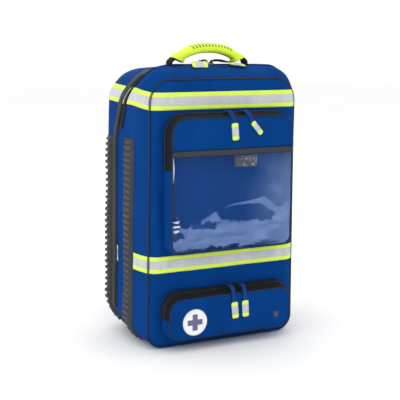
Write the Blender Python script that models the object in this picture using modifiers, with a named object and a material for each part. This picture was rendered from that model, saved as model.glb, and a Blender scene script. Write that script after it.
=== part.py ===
"""Emergency backpack: two lofted halves, zipped together, with pockets, rails, handle and harness.

Metres, +Z up. The front panel faces -Y, the harness faces +Y, and the bag stands on z = 0.
Depths are measured backwards from the front panel's piped edge, which lies at y = FRONT_Y.
"""

import math

import bmesh
import bpy
from mathutils import Vector

NAME = "trauma_backpack"

# Frame
FRONT_Y = -0.11325         # y of the front panel's piped edge, so that the whole bag is centred on y = 0
SHARP_ANGLE = 35           # degrees, above which shading breaks
GAP = 0.0004               # clearance between pieces that touch
MERGE = 0.00001            # points closer than this are one point
SIDE_CLEAR = 0.002         # the straight side's points stay this far under the top corner
CORNER_STEPS = 8           # chords in each rounded corner of a section
POCKET_STEPS = 5           # the same on a pocket
SIDE_Z = (0.200, 0.340, 0.480, 0.510, 0.535, 0.560)   # heights of the points on a section's straight sides

# Main loft: depth, half width, bottom z, top z, top corner (across, down), bottom corner radius, top arch
BAG = (
    (0.000, 0.19000, 0.0050, 0.6280, 0.050, 0.055, 0.0370, 0.000),
    (0.025, 0.19750, 0.0072, 0.6390, 0.052, 0.058, 0.0410, 0.002),
    (0.058, 0.20250, 0.0085, 0.6470, 0.055, 0.062, 0.0475, 0.003),
    (0.092, 0.20350, 0.0085, 0.6515, 0.060, 0.066, 0.0560, 0.004),
    (0.127, 0.20450, 0.0085, 0.6525, 0.064, 0.070, 0.0650, 0.005),
    (0.155, 0.20450, 0.0085, 0.6510, 0.067, 0.073, 0.0760, 0.004),
    (0.172, 0.20500, 0.0085, 0.6500, 0.069, 0.075, 0.0820, 0.004),
    (0.190, 0.20433, 0.0085, 0.6485, 0.070, 0.076, 0.0890, 0.003),
    (0.212, 0.20350, 0.0085, 0.6460, 0.070, 0.076, 0.0975, 0.002),
    (0.228, 0.19600, 0.0110, 0.6390, 0.068, 0.072, 0.1020, 0.002),
    (0.238, 0.18400, 0.0220, 0.6220, 0.060, 0.062, 0.0940, 0.001),
)
ZIP_DEPTH = 0.155          # nominal depth of the zip line
ZIP_LEAN = 0.055           # how far the zip line swings forward over the top
LEAN_Z = (0.500, 0.650)    # heights where that swing starts and ends
FLARE = 0.028              # extra width at the floor, fading to none at FLARE_TOP
FLARE_TOP = 0.47
SHELL_WALL = 0.004         # laminated fabric with foam
MAIN_END = 0.1530          # depth where the main half stops
REAR_START = 0.1565        # depth where the rear half begins
BACK_DEPTH = 0.238
PIPING_RADIUS = 0.0024
# Front panel crown: distance in from the piped edge, how far it stands forward
CROWN = ((0.000, 0.000), (0.008, 0.006), (0.018, 0.010), (0.026, 0.012))

# Pocket lofts, the same columns as BAG, from the bag outwards
POCKET_BACK = -0.0137
UPPER_FRONT = -0.0500
UPPER_POCKET = (
    (UPPER_FRONT, 0.1590, 0.234, 0.5460, 0.038, 0.038, 0.024, 0.0),
    (POCKET_BACK, 0.1630, 0.230, 0.5530, 0.044, 0.044, 0.028, 0.0),
)
LOWER_FRONT = -0.0494
LOWER_SPLIT = -0.0394       # the cover is the pocket in front of this depth
LOWER_POCKET = (
    (LOWER_FRONT, 0.1620, 0.031, 0.1280, 0.034, 0.034, 0.028, 0.0),
    (POCKET_BACK, 0.1670, 0.026, 0.1430, 0.038, 0.038, 0.032, 0.0),
)
POCKET_WALL = 0.002
CUTTER_REACH = 0.30
FLAP_HINGE_Z = 0.4710
FLAP_BACK = -0.0298         # the flap is the pocket in front of this depth and over its hinge line
UPPER_LID_CUT = -0.0288     # in front of this depth the pocket's body ends at the flap's hinge line
UPPER_ZIP = (-0.0285, -0.0165)              # depths of the zip tapes
LOWER_ZIP = (-0.0388, -0.0180)
UPPER_ZIP_END_Z = 0.427
LOWER_ZIP_END_Z = 0.079
WINDOW_TOP_Z = 0.4580
WINDOW_PROUD = 0.0012
BINDING_PROUD = 0.0018
CLOSURE = (0.002, 0.062, 0.429, 0.455)      # x from, x to, z from, z to
CLOSURE_THICKNESS = 0.0012
BADGE_CENTRE = (-0.097, 0.070)
BADGE_RADIUS = 0.0315
BADGE_THICKNESS = 0.0012
BADGE_SIDES = 28
LABEL = (0.115, 0.131, 0.054, 0.071)        # the same columns
LABEL_THICKNESS = 0.0010

# Reflective tapes, z from and to
UPPER_BAND = (0.561, 0.601)
LOWER_BAND = (0.1855, 0.2245)
TAPE_THICKNESS = 0.0007
BAND_STEPS = 4             # rows of faces up a band
BAND_START = 0.0045        # depth where the side bands leave the piping
REAR_BAND_END = 0.230

# Ribbed rubber rails
RIB_PITCH = 0.015
RIB_CREST = 0.005
RIB_SLOPE = 0.003
RIB_VALLEY_OFFSET = 0.0035
RIB_CREST_OFFSET = 0.0085
RAIL_STEPS = 24            # chords in the corner that the ribs are counted along
FRONT_RAIL = (0.058, 0.112, 0.490)          # depth from, depth to, top z
REAR_RAIL = (0.1735, 0.212, 0.487)

# Main zip
ZIP_TAPE = (0.1285, 0.1540)
ZIP_TAPE_END_Z = 0.510
ZIP_TAPE_HEIGHT = 0.0022
COVER_PROFILE = ((0.1556, 0.0020), (0.1590, 0.0042), (0.1625, 0.0050), (0.1665, 0.0040), (0.1700, 0.0016))
COVER_TOP_X = 0.112
COVER_LOW_Z = 0.100
HINGE_STRIP_Z = (0.110, 0.480)
HINGE_STRIP_DEPTHS = (0.1400, 0.1550, 0.1700)
MAIN_SLIDER_X = (-0.013, 0.017)
MAIN_SLIDER = (0.012, 0.013, 0.0050)
MAIN_SLIDER_Z = 0.6594
MAIN_SLIDER_DEPTH = 0.1010
MAIN_PULL_Z = 0.6650
MAIN_PULL_THICKNESS = 0.0022
MAIN_CORD_HALF = 0.003
PULL_INSET = 0.003         # how far behind the slider's middle a pull starts
MAIN_TAB_X = (-0.025, 0.034)
MAIN_TAB_DEPTH = (0.049, 0.067)

# Pocket sliders and pulls
POCKET_SLIDER = (0.011, 0.010, 0.0042)
UPPER_SLIDER_X = (-0.014, 0.028)
UPPER_SLIDER = (-0.0340, 0.5530)            # depth, bottom z
UPPER_TAB_TOP_Z = 0.530
LOWER_SLIDER_X = (-0.002, 0.030)
LOWER_SLIDER = (-0.0310, 0.1405)
LOWER_TAB_TOP_Z = 0.106
PULL_WEBBING_WIDTH = 0.011
PULL_TAB_WIDTH = 0.019
PULL_TAB_LENGTH = 0.041
PULL_THICKNESS = 0.0020
UPPER_DROP = 0.0012        # how far in front of its pocket a pull hangs
LOWER_DROP = 0.0018

# Carry handle
HANDLE_DEPTH = 0.080
GRIP_HALF_LENGTH = 0.090
GRIP_END_Z = 0.6700
GRIP_RISE = 0.0275
GRIP_RADIUS = 0.0112
GRIP_STEPS = 12
HANDLE_WEB_WIDTH = 0.024
HANDLE_WEB_THICKNESS = 0.0025
HANDLE_FOOT_LIFT = 0.0014  # the feet lie over the edge of the zip tape

# Inside
DIVIDER_Z = (0.215, 0.425)
DIVIDER_THICKNESS = 0.008
DIVIDER_DEPTHS = (0.004, 0.148)
DIVIDER_MARGIN = 0.0048
STIFFENER = (0.150, 0.090, 0.560, 0.2305, 0.2330)   # half width, z from, z to, depth from, depth to

# Harness
PAD_THICKNESS = 0.013
BACK_PAD = (0.026, 0.112, 0.230, 0.520)             # x from, x to, z from, z to
LUMBAR_PAD = (-0.098, 0.098, 0.092, 0.205)
STRAP_X = 0.069
STRAP_THICKNESS = 0.012
STRAP_HEAD = (0.578, 0.028)                         # z and half width where the strap is sewn on
STRAP_ROUTE = (
    # depth, z, x away from STRAP_X, half width
    (0.2570, 0.5570, 0.000, 0.030), (0.2600, 0.5200, 0.002, 0.032), (0.2610, 0.4700, 0.008, 0.034),
    (0.2615, 0.4100, 0.017, 0.034), (0.2615, 0.3500, 0.027, 0.031), (0.2610, 0.2900, 0.036, 0.026),
    (0.2590, 0.2350, 0.043, 0.020),
)
LOCK_Z = (0.196, 0.232)
LOCK_HALF_WIDTH = 0.0165
LOCK_DEPTHS = (0.2560, 0.2640)
STRAP_WEB_ROUTE = ((0.2575, 0.1925), (0.2560, 0.1400), (0.2500, 0.0950), (0.2410, 0.0700))
STRAP_WEB_HALF_WIDTH = 0.0125
STRAP_WEB_X = 0.113
WEB_THICKNESS = 0.0016
STERNUM_Z = 0.4300
STERNUM_DEPTH = 0.2635
STERNUM_WEB_HALF = 0.0095
STERNUM_WEB_X = (0.0190, 0.0610)
BUCKLE_HALF_HEIGHT = 0.0135
BUCKLE_HALF_DEPTH = 0.0042
BUCKLE_FEMALE_X = (-0.0185, 0.0040)
BUCKLE_MALE_X = (0.0044, 0.0185)

COLOURS = {
    "royal_fabric": ((0.004, 0.060, 0.300, 1), 0.75, 0.0),
    "dark_rubber": ((0.070, 0.072, 0.078, 1), 0.70, 0.0),
    "black_tape": ((0.012, 0.013, 0.016, 1), 0.80, 0.0),
    "black_plastic": ((0.015, 0.015, 0.017, 1), 0.45, 0.0),
    "reflective": ((0.640, 0.850, 0.120, 1), 0.45, 0.0),
    "yellow_grip": ((0.700, 0.860, 0.020, 1), 0.50, 0.0),
    "clear_vinyl": ((0.550, 0.700, 0.860, 0.35), 0.10, 0.0),
    "mesh_pad": ((0.020, 0.022, 0.028, 1), 0.90, 0.0),
    "grey_patch": ((0.350, 0.360, 0.380, 1), 0.90, 0.0),
    "badge_white": ((0.850, 0.860, 0.870, 1), 0.60, 0.0),
    "divider_foam": ((0.020, 0.100, 0.340, 1), 0.85, 0.0),
    "frame_sheet": ((0.180, 0.185, 0.190, 1), 0.40, 0.0),
}


def clear_scene():
    for item in list(bpy.data.objects):
        bpy.data.objects.remove(item, do_unlink=True)


def new_collection(name):
    collection = bpy.data.collections.new(name)
    bpy.context.scene.collection.children.link(collection)
    return collection


def make_material(name):
    colour, roughness, metallic = COLOURS[name]
    material = bpy.data.materials.new(name)
    material.use_nodes = True
    shader = material.node_tree.nodes["Principled BSDF"]
    shader.inputs["Base Color"].default_value = colour
    shader.inputs["Roughness"].default_value = roughness
    shader.inputs["Metallic"].default_value = metallic
    shader.inputs["Alpha"].default_value = colour[3]
    material.diffuse_color = colour
    return material


clear_scene()
PARTS = new_collection(NAME)
CUTTERS = new_collection(NAME + "_cutters")


def dress(obj, look):
    """Gives one object its own material."""
    material = make_material(look)
    material.name = f"{obj.name}_{look}"
    obj.data.materials.clear()
    obj.data.materials.append(material)


def add_object(name, data, look, collection=PARTS):
    obj = bpy.data.objects.new(name, data)
    collection.objects.link(obj)
    if look:
        dress(obj, look)
    return obj


def mesh_from(name, points, faces):
    mesh = bpy.data.meshes.new(name)
    mesh.from_pydata(points, [], faces)
    build = bmesh.new()
    build.from_mesh(mesh)
    bmesh.ops.remove_doubles(build, verts=build.verts, dist=MERGE)
    bmesh.ops.recalc_face_normals(build, faces=build.faces)
    build.to_mesh(mesh)
    build.free()
    mesh.shade_smooth()
    mesh.set_sharp_from_angle(angle=math.radians(SHARP_ANGLE))
    return mesh


def ramp(table, key, column):
    """Reads a column of a table between its rows, in straight stretches."""
    for low, high in zip(table, table[1:]):
        if key <= high[0] or high is table[-1]:
            share = (key - low[0]) / (high[0] - low[0])
            return low[column] + (high[column] - low[column]) * min(1.0, max(0.0, share))
    return table[-1][column]


def flare(z):
    return 1.0 + FLARE * max(0.0, (FLARE_TOP - z) / FLARE_TOP)


def corner(centre_x, centre_z, across, down, start, steps):
    """Points of a quarter ellipse, anticlockwise seen from the front."""
    points = []
    for step in range(steps + 1):
        angle = math.radians(start + 90.0 * step / steps)
        points.append((centre_x + across * math.cos(angle), centre_z + down * math.sin(angle)))
    return points


def outline(table, depth, offset=0.0, steps=None):
    """The loft's closed section at a depth, as (x, z), from the bottom centre anticlockwise."""
    steps = steps or (CORNER_STEPS if table is BAG else POCKET_STEPS)
    half, low, high, across, down, round_low, arch = (ramp(table, depth, column) for column in range(1, 8))
    half += offset
    low -= offset
    high += offset
    across = max(0.004, across + offset)
    down = max(0.004, down + offset)
    round_low = max(0.004, round_low + offset)
    right_low = corner(half - round_low, low + round_low, round_low, round_low, 270, steps)
    right_high = corner(half - across, high - down, across, down, 0, steps)
    left_high = corner(across - half, high - down, across, down, 90, steps)
    left_low = corner(round_low - half, low + round_low, round_low, round_low, 180, steps)
    if table is BAG:
        heights = [min(z, high - down - SIDE_CLEAR) for z in SIDE_Z]
        right_side = [(half, z) for z in heights]
        left_side = [(-half, z) for z in reversed(heights)]
    else:
        right_side = []
        left_side = []
    points = [(0.0, low)] + right_low + right_side + right_high
    points += [(0.0, high)] + left_high + left_side + left_low
    if table is BAG:
        rise = high - down
        points = [(x, z + arch * (1 - (x / half) ** 2) * max(0.0, (z - rise) / down)) for x, z in points]
        points = [(x * flare(z), z) for x, z in points]
    return points


def lean(depth, z):
    """How far the zip line's forward swing moves a place on the loft."""
    share = min(1.0, max(0.0, (z - LEAN_Z[0]) / (LEAN_Z[1] - LEAN_Z[0])))
    ease = share * share * (3 - 2 * share)
    if depth <= ZIP_DEPTH:
        return -ZIP_LEAN * ease * max(0.0, depth / ZIP_DEPTH)
    return -ZIP_LEAN * ease * (BACK_DEPTH - depth) / (BACK_DEPTH - ZIP_DEPTH)


def at_depth(points, depth):
    """Places a section's points, with its depth counted on the unswung loft."""
    return [Vector((x, FRONT_Y + depth + lean(depth, z), z)) for x, z in points]


def crossing(first, last, z):
    share = (z - first[1]) / (last[1] - first[1])
    return (first[0] + (last[0] - first[0]) * share, z)


def halves(points):
    """A closed outline's right side going up and its left side going down."""
    middle = len(points) // 2
    return points[:middle + 1], points[middle:] + [points[0]]


def clamp_low(side, z):
    """Moves the points under a height onto the place where the side crosses it."""
    pairs = list(zip(side, side[1:]))
    cross = next(crossing(a, b, z) for a, b in pairs if min(a[1], b[1]) <= z < max(a[1], b[1]))
    return [point if point[1] > z else cross for point in side]


def clamp_high(side, z):
    """Moves the points over a height onto the place where the side crosses it."""
    pairs = list(zip(side, side[1:]))
    cross = next(crossing(a, b, z) for a, b in pairs if min(a[1], b[1]) <= z < max(a[1], b[1]))
    return [point if point[1] < z else cross for point in side]


def below(points, z):
    """The part of a closed outline under a height, from its left end round the bottom to its right."""
    right, left = halves(points)
    return clamp_high(left, z) + clamp_high(right, z)[1:]


def above(points, z):
    """The part of a closed outline over a height, from its right end round the top to its left."""
    right, left = halves(points)
    return clamp_low(right, z) + clamp_low(left, z)[1:]


def distinct(points):
    return [point for index, point in enumerate(points) if index == 0 or point != points[index - 1]]


def edge_x(table, depth, z, offset=0.0):
    """How far out the section reaches at a height."""
    points = outline(table, depth, offset)
    right = points[:len(points) // 2 + 1]
    for first, last in zip(right, right[1:]):
        if first[1] <= z <= last[1] and last[1] > first[1]:
            return crossing(first, last, z)[0]
    raise ValueError(f"no edge at z = {z}")


def loft_solid(rings):
    """Faces of a solid through rings of equal length, with a flat cap on the first and the last."""
    count = len(rings[0])
    points = [point for ring in rings for point in ring]
    faces = []
    for row in range(len(rings) - 1):
        for index in range(count):
            following = (index + 1) % count
            base = row * count
            faces.append((base + index, base + following, base + count + following, base + count + index))
    faces.append(tuple(range(count)))
    faces.append(tuple((len(rings) - 1) * count + index for index in range(count)))
    return points, faces


def loft_object(name, rings, look):
    points, faces = loft_solid(rings)
    return add_object(name, mesh_from(name, points, faces), look)


def plate_object(name, grid, lift, look):
    """A thin plate over a grid of points, thickened along each point's lift vector."""
    rows = len(grid)
    columns = len(grid[0])
    points = [point for row in grid for point in row]
    points += [point + vector for row, moves in zip(grid, lift) for point, vector in zip(row, moves)]
    top = rows * columns
    faces = []
    for row in range(rows - 1):
        for column in range(columns - 1):
            a = row * columns + column
            quad = (a, a + 1, a + columns + 1, a + columns)
            faces.append(quad)
            faces.append(tuple(top + index for index in reversed(quad)))
    border = list(range(columns))
    border += [row * columns + columns - 1 for row in range(1, rows)]
    border += [(rows - 1) * columns + column for column in range(columns - 2, -1, -1)]
    border += [row * columns for row in range(rows - 2, 0, -1)]
    for first, last in zip(border, border[1:] + border[:1]):
        faces.append((first, last, top + last, top + first))
    return add_object(name, mesh_from(name, points, faces), look)


def box_object(name, low, high, look, bevel=0.0, collection=PARTS):
    build = bmesh.new()
    bmesh.ops.create_cube(build, size=1.0)
    size = [top - bottom for bottom, top in zip(low, high)]
    middle = [(top + bottom) / 2 for bottom, top in zip(low, high)]
    bmesh.ops.scale(build, vec=size, verts=build.verts)
    mesh = bpy.data.meshes.new(name)
    build.to_mesh(mesh)
    build.free()
    obj = add_object(name, mesh, look, collection)
    obj.location = middle
    if bevel:
        round_edges(obj, bevel)
    return obj


def round_edges(obj, width, segments=2):
    modifier = obj.modifiers.new("edges", "BEVEL")
    modifier.width = width
    modifier.segments = segments
    modifier.limit_method = "ANGLE"


def cutter_box(name, low, high):
    cutter = box_object(name, low, high, None, collection=CUTTERS)
    cutter.hide_render = True
    cutter.display_type = "WIRE"
    return cutter


def cut(obj, cutter):
    modifier = obj.modifiers.new("cut", "BOOLEAN")
    modifier.operation = "DIFFERENCE"
    modifier.solver = "EXACT"
    modifier.object = cutter


def open_loft(name, rings, look, wall, cap_first=False, cap_last=False):
    """A loft left open at one or both ends, thickened inwards."""
    points, faces = loft_solid(rings)
    count = len(rings[0])
    last_cap = faces.pop()
    first_cap = faces.pop()
    faces = [tuple(reversed(face)) for face in faces]
    if cap_first:
        faces.append(first_cap)
    if cap_last:
        faces.append(tuple(reversed(last_cap)))
    mesh = bpy.data.meshes.new(name)
    mesh.from_pydata(points, [], faces)
    side = mesh.polygons[count // 4]
    if side.normal.x < 0:
        mesh.flip_normals()
    mesh.shade_smooth()
    mesh.set_sharp_from_angle(angle=math.radians(SHARP_ANGLE))
    obj = add_object(name, mesh, look)
    solid = obj.modifiers.new("wall", "SOLIDIFY")
    solid.thickness = wall
    solid.offset = -1.0
    solid.use_even_offset = True
    return obj


def band_object(name, look, table, depths, inner, outers, pick):
    """A band that wraps a loft: one cross section for each place along the picked run."""
    outside = [at_depth(pick(outline(table, depth, outer)), depth) for depth, outer in zip(depths, outers)]
    inside = [at_depth(pick(outline(table, depth, inner)), depth) for depth in depths]
    rings = [list(over) + list(under)[::-1] for over, under in zip(zip(*outside), zip(*inside))]
    return loft_object(name, rings, look)


def curve_tube(name, points, radius, look, cyclic=False, resolution=1):
    curve = bpy.data.curves.new(name, "CURVE")
    curve.dimensions = "3D"
    curve.bevel_depth = radius
    curve.bevel_resolution = resolution
    curve.use_fill_caps = not cyclic
    spline = curve.splines.new("POLY")
    spline.points.add(len(points) - 1)
    for slot, point in zip(spline.points, points):
        slot.co = (*point, 1.0)
    spline.use_cyclic_u = cyclic
    return add_object(name, curve, look)


def strip_rings(route, thickness):
    """Rings of a flat strap: route rows are (centre point, half width along X, face normal)."""
    rings = []
    for centre, half, normal in route:
        lift = normal.normalized() * thickness
        side = Vector((half, 0, 0))
        rings.append([centre - side, centre + side, centre + side + lift, centre - side + lift])
    return rings


# ---------------------------------------------------------------- the two halves

def crown(inset):
    return ramp(CROWN, inset, 1)


def make_main_shell():
    rings = [at_depth(outline(BAG, 0.0, -inset), -forward) for inset, forward in reversed(CROWN)]
    depths = [row[0] for row in BAG if 0.0 < row[0] < MAIN_END] + [MAIN_END]
    rings += [at_depth(outline(BAG, depth), depth) for depth in depths]
    return open_loft("main_shell", rings, "royal_fabric", SHELL_WALL, cap_first=True)


def make_rear_shell():
    depths = [REAR_START] + [row[0] for row in BAG if row[0] > REAR_START]
    rings = [at_depth(outline(BAG, depth), depth) for depth in depths]
    return open_loft("rear_shell", rings, "royal_fabric", SHELL_WALL, cap_last=True)


def make_front_piping():
    clear = PIPING_RADIUS / math.sqrt(2) + GAP
    points = at_depth(outline(BAG, 0.0, clear), -clear)
    curve_tube("front_piping", points, PIPING_RADIUS, "dark_rubber", cyclic=True)


# ---------------------------------------------------------------- ribbed rails

def walk(points):
    """Lengths along a polyline."""
    total = [0.0]
    for first, last in zip(points, points[1:]):
        total.append(total[-1] + math.dist(first, last))
    return total


def point_on(points, lengths, distance):
    """A place on a polyline and the direction out of the loft there."""
    distance = min(max(distance, 0.0), lengths[-1])
    index = max(i for i, length in enumerate(lengths[:-1]) if length <= distance)
    first, last = points[index], points[index + 1]
    span = lengths[index + 1] - lengths[index]
    share = (distance - lengths[index]) / span
    along = ((last[0] - first[0]) / span, (last[1] - first[1]) / span)
    place = (first[0] + along[0] * share * span, first[1] + along[1] * share * span)
    return place, (along[1], -along[0])


def rib_profile(count):
    """Shares of one rail's length with the height of the rib there, symmetric about the middle."""
    half_crest = RIB_CREST / RIB_PITCH / 2
    slope = RIB_SLOPE / RIB_PITCH
    profile = [(0.0, RIB_VALLEY_OFFSET)]
    for rib in range(count):
        middle = rib + 0.5
        profile.append(((middle - half_crest - slope) / count, RIB_VALLEY_OFFSET))
        profile.append(((middle - half_crest) / count, RIB_CREST_OFFSET))
        profile.append(((middle + half_crest) / count, RIB_CREST_OFFSET))
        profile.append(((middle + half_crest + slope) / count, RIB_VALLEY_OFFSET))
    profile.append((1.0, RIB_VALLEY_OFFSET))
    return profile


def make_rail(name, depth_from, depth_to, top):
    rings = []
    length = walk(distinct(below(outline(BAG, depth_from), top)))[-1]
    count = 2 * round(length / RIB_PITCH / 2) + 1
    for depth in (depth_from, depth_to):
        track = distinct(below(outline(BAG, depth, 0.0, steps=RAIL_STEPS), top))
        lengths = walk(track)
        outside = []
        for share, height in rib_profile(count):
            place, out = point_on(track, lengths, share * lengths[-1])
            outside.append((place[0] + out[0] * height, place[1] + out[1] * height))
        inside = below(outline(BAG, depth, GAP), top)
        rings.append(at_depth(outside + inside[::-1], depth))
    return loft_object(name, rings, "dark_rubber")


# ---------------------------------------------------------------- reflective tapes

def make_front_band(name, low, high):
    insets = (0.004, 0.008, 0.018, 0.026)
    grid = []
    for step in range(BAND_STEPS + 1):
        z = low + (high - low) * step / BAND_STEPS
        row = [(-edge_x(BAG, 0.0, z, -inset), crown(inset)) for inset in insets]
        row += [(-x, forward) for x, forward in reversed(row)]
        grid.append([Vector((x, FRONT_Y - forward - 3 * GAP, z)) for x, forward in row])
    lift = [[Vector((0, -TAPE_THICKNESS, 0)) for _ in row] for row in grid]
    return plate_object(name, grid, lift, "reflective")


def side_run(side, low, high):
    """Picks one side of a section between two heights."""
    def pick(ring):
        right = clamp_high(clamp_low(halves(ring)[0], low), high)
        return [(side * x, z) for x, z in right]
    return pick


def make_side_band(name, side, low, high, depths):
    outers = [2 * GAP + TAPE_THICKNESS] * len(depths)
    return band_object(name, "reflective", BAG, depths, 2 * GAP, outers, side_run(side, low, high))


def make_bands():
    make_front_band("upper_band_front", *UPPER_BAND)
    make_front_band("lower_band_front", *LOWER_BAND)
    zip_edge = ZIP_TAPE[0] - GAP
    cover_edge = COVER_PROFILE[-1][0] + GAP
    reach = [BAND_START] + [row[0] for row in BAG if BAND_START < row[0] < zip_edge] + [zip_edge]
    short = [BAND_START, BAG[1][0], FRONT_RAIL[0] - GAP]
    rear = [cover_edge] + [row[0] for row in BAG if cover_edge < row[0] < REAR_BAND_END]
    for word, side in (("left", -1), ("right", 1)):
        make_side_band(f"upper_band_{word}", side, *UPPER_BAND, reach)
        make_side_band(f"lower_band_{word}", side, *LOWER_BAND, short)
        make_side_band(f"upper_band_rear_{word}", side, *UPPER_BAND, rear)


# ---------------------------------------------------------------- main zip and hinge

def make_zip_tape():
    outers = (ZIP_TAPE_HEIGHT, ZIP_TAPE_HEIGHT)
    return band_object("main_zip_tape", "black_tape", BAG, ZIP_TAPE, GAP, outers,
                       lambda ring: above(ring, ZIP_TAPE_END_Z))


def cover_run(side, low_z):
    """Picks one side of a section, from low_z up to COVER_TOP_X on the top."""
    def pick(ring):
        right = clamp_low(halves(ring)[0], low_z)
        pairs = zip(right, right[1:])
        a, b = next((a, b) for a, b in pairs if b[0] <= COVER_TOP_X < a[0] and a[1] > low_z)
        end = (COVER_TOP_X, a[1] + (b[1] - a[1]) * (COVER_TOP_X - a[0]) / (b[0] - a[0]))
        kept = [end if point[0] < COVER_TOP_X else point for point in right]
        return [(side * x, z) for x, z in kept]
    return pick


def make_zip_cover(word, side, low_z):
    depths = [row[0] for row in COVER_PROFILE]
    outers = [row[1] for row in COVER_PROFILE]
    return band_object(f"main_zip_cover_{word}", "dark_rubber", BAG, depths, 2 * GAP, outers,
                       cover_run(side, low_z))


def make_hinge_strip():
    """A webbing strip down the right side, over the seam between the two halves."""
    grid = []
    for step in range(BAND_STEPS + 1):
        z = HINGE_STRIP_Z[0] + (HINGE_STRIP_Z[1] - HINGE_STRIP_Z[0]) * step / BAND_STEPS
        row = []
        for depth in HINGE_STRIP_DEPTHS:
            row.append(Vector((edge_x(BAG, depth, z) + 2 * GAP, FRONT_Y + depth, z)))
        grid.append(row)
    lift = [[Vector((0.0015, 0, 0)) for _ in row] for row in grid]
    return plate_object("hinge_strip", grid, lift, "dark_rubber")


def make_main_sliders():
    width, length, height = MAIN_SLIDER
    for word, x, tab_x in zip(("left", "right"), MAIN_SLIDER_X, MAIN_TAB_X):
        y = FRONT_Y + MAIN_SLIDER_DEPTH
        low = (x - width / 2, y - length / 2, MAIN_SLIDER_Z)
        high = (x + width / 2, y + length / 2, MAIN_SLIDER_Z + height)
        box_object(f"main_slider_{word}", low, high, "black_plastic", 0.001)
        make_main_pull(word, x, tab_x)


def make_main_pull(word, x, tab_x):
    """Cord and tab in one flat piece that lies forward over the crest."""
    cord = MAIN_CORD_HALF
    back = FRONT_Y + MAIN_SLIDER_DEPTH + PULL_INSET
    tab_back = FRONT_Y + MAIN_TAB_DEPTH[1]
    tab_front = FRONT_Y + MAIN_TAB_DEPTH[0]
    half = PULL_TAB_LENGTH / 2
    flat = [
        (x - cord, back), (x - cord, tab_back), (tab_x - half, tab_back), (tab_x - half, tab_front),
        (tab_x + half, tab_front), (tab_x + half, tab_back), (x + cord, tab_back), (x + cord, back),
    ]
    rings = [
        [Vector((px, py, MAIN_PULL_Z)) for px, py in flat],
        [Vector((px, py, MAIN_PULL_Z + MAIN_PULL_THICKNESS)) for px, py in flat],
    ]
    return loft_object(f"main_pull_{word}", rings, "reflective")


# ---------------------------------------------------------------- pockets

def pocket_rings(table, depths, offset=0.0):
    return [at_depth(outline(table, depth, offset), depth) for depth in depths]


def make_upper_pocket():
    far = CUTTER_REACH
    body = open_loft("upper_pocket_body", pocket_rings(UPPER_POCKET, (UPPER_FRONT, UPPER_LID_CUT, POCKET_BACK)),
                     "royal_fabric", POCKET_WALL)
    lid_cutter = cutter_box("upper_lid_cutter", (-far, FRONT_Y - far, FLAP_HINGE_Z - GAP),
                            (far, FRONT_Y + UPPER_LID_CUT, FLAP_HINGE_Z + far))
    cut(body, lid_cutter)
    flap = open_loft("upper_pocket_flap", pocket_rings(UPPER_POCKET, (UPPER_FRONT, FLAP_BACK)),
                     "royal_fabric", POCKET_WALL, cap_first=True)
    flap_cutter = cutter_box("upper_flap_cutter", (-far, FRONT_Y - far, -far),
                             (far, FRONT_Y + far, FLAP_HINGE_Z + GAP))
    cut(flap, flap_cutter)


def flat_piece(name, points, depth_from, depth_to, look):
    return loft_object(name, [at_depth(points, depth_from), at_depth(points, depth_to)], look)


def make_upper_window():
    face = outline(UPPER_POCKET, UPPER_FRONT, -0.0005)
    sheet = below(face, WINDOW_TOP_Z)
    flat_piece("upper_pocket_window", sheet, UPPER_FRONT - WINDOW_PROUD, UPPER_FRONT - GAP, "clear_vinyl")
    edge = edge_x(UPPER_POCKET, UPPER_FRONT, WINDOW_TOP_Z)
    box_object("window_binding", (-edge, FRONT_Y + UPPER_FRONT - BINDING_PROUD, WINDOW_TOP_Z + GAP),
               (edge, FRONT_Y + UPPER_FRONT - GAP, FLAP_HINGE_Z - GAP), "dark_rubber")
    x_from, x_to, z_from, z_to = CLOSURE
    box_object("window_closure", (x_from, FRONT_Y + UPPER_FRONT, z_from),
               (x_to, FRONT_Y + UPPER_FRONT + CLOSURE_THICKNESS, z_to), "grey_patch")


def make_pocket_zip(name, table, depths, end_z):
    def pick(ring):
        return above(ring, end_z)
    outers = (ZIP_TAPE_HEIGHT, ZIP_TAPE_HEIGHT)
    return band_object(name, "black_tape", table, depths, GAP, outers, pick)


def make_lower_pocket():
    open_loft("lower_pocket_body", pocket_rings(LOWER_POCKET, (LOWER_SPLIT + GAP, POCKET_BACK)),
              "royal_fabric", POCKET_WALL)
    open_loft("lower_pocket_cover", pocket_rings(LOWER_POCKET, (LOWER_FRONT, LOWER_SPLIT)),
              "royal_fabric", POCKET_WALL, cap_first=True)
    make_badge()


def make_badge():
    """The round badge and the small label sewn on the lower pocket's cover."""
    centre_x, centre_z = BADGE_CENTRE
    ring = []
    for step in range(BADGE_SIDES):
        angle = math.tau * step / BADGE_SIDES
        ring.append((centre_x + BADGE_RADIUS * math.cos(angle), centre_z + BADGE_RADIUS * math.sin(angle)))
    back = LOWER_FRONT - GAP
    flat_piece("emblem_badge", ring, back - BADGE_THICKNESS, back, "badge_white")
    x_from, x_to, z_from, z_to = LABEL
    box_object("label_patch", (x_from, FRONT_Y + back - LABEL_THICKNESS, z_from),
               (x_to, FRONT_Y + back, z_to), "grey_patch")


def make_pocket_pull(name, x, depth, z, drop_depth, tab_top):
    """A webbing pull that leaves the slider forwards, turns over the edge and hangs down the face."""
    half = PULL_WEBBING_WIDTH / 2
    tab = PULL_TAB_WIDTH / 2
    tab_low = tab_top - PULL_TAB_LENGTH
    centres = ((depth, z, half), (drop_depth + 0.003, z, half), (drop_depth, z - 0.004, half),
               (drop_depth, tab_top + 0.001, half), (drop_depth, tab_top, tab), (drop_depth, tab_low, tab))
    normals = (Vector((0, 0, 1)), Vector((0, -0.4, 1)), Vector((0, -1, 0.4)),
               Vector((0, -1, 0)), Vector((0, -1, 0)), Vector((0, -1, 0)))
    route = []
    for (row_depth, row_z, row_half), normal in zip(centres, normals):
        route.append((Vector((x, FRONT_Y + row_depth, row_z)), row_half, normal))
    return loft_object(name, strip_rings(route, PULL_THICKNESS), "reflective")


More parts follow.
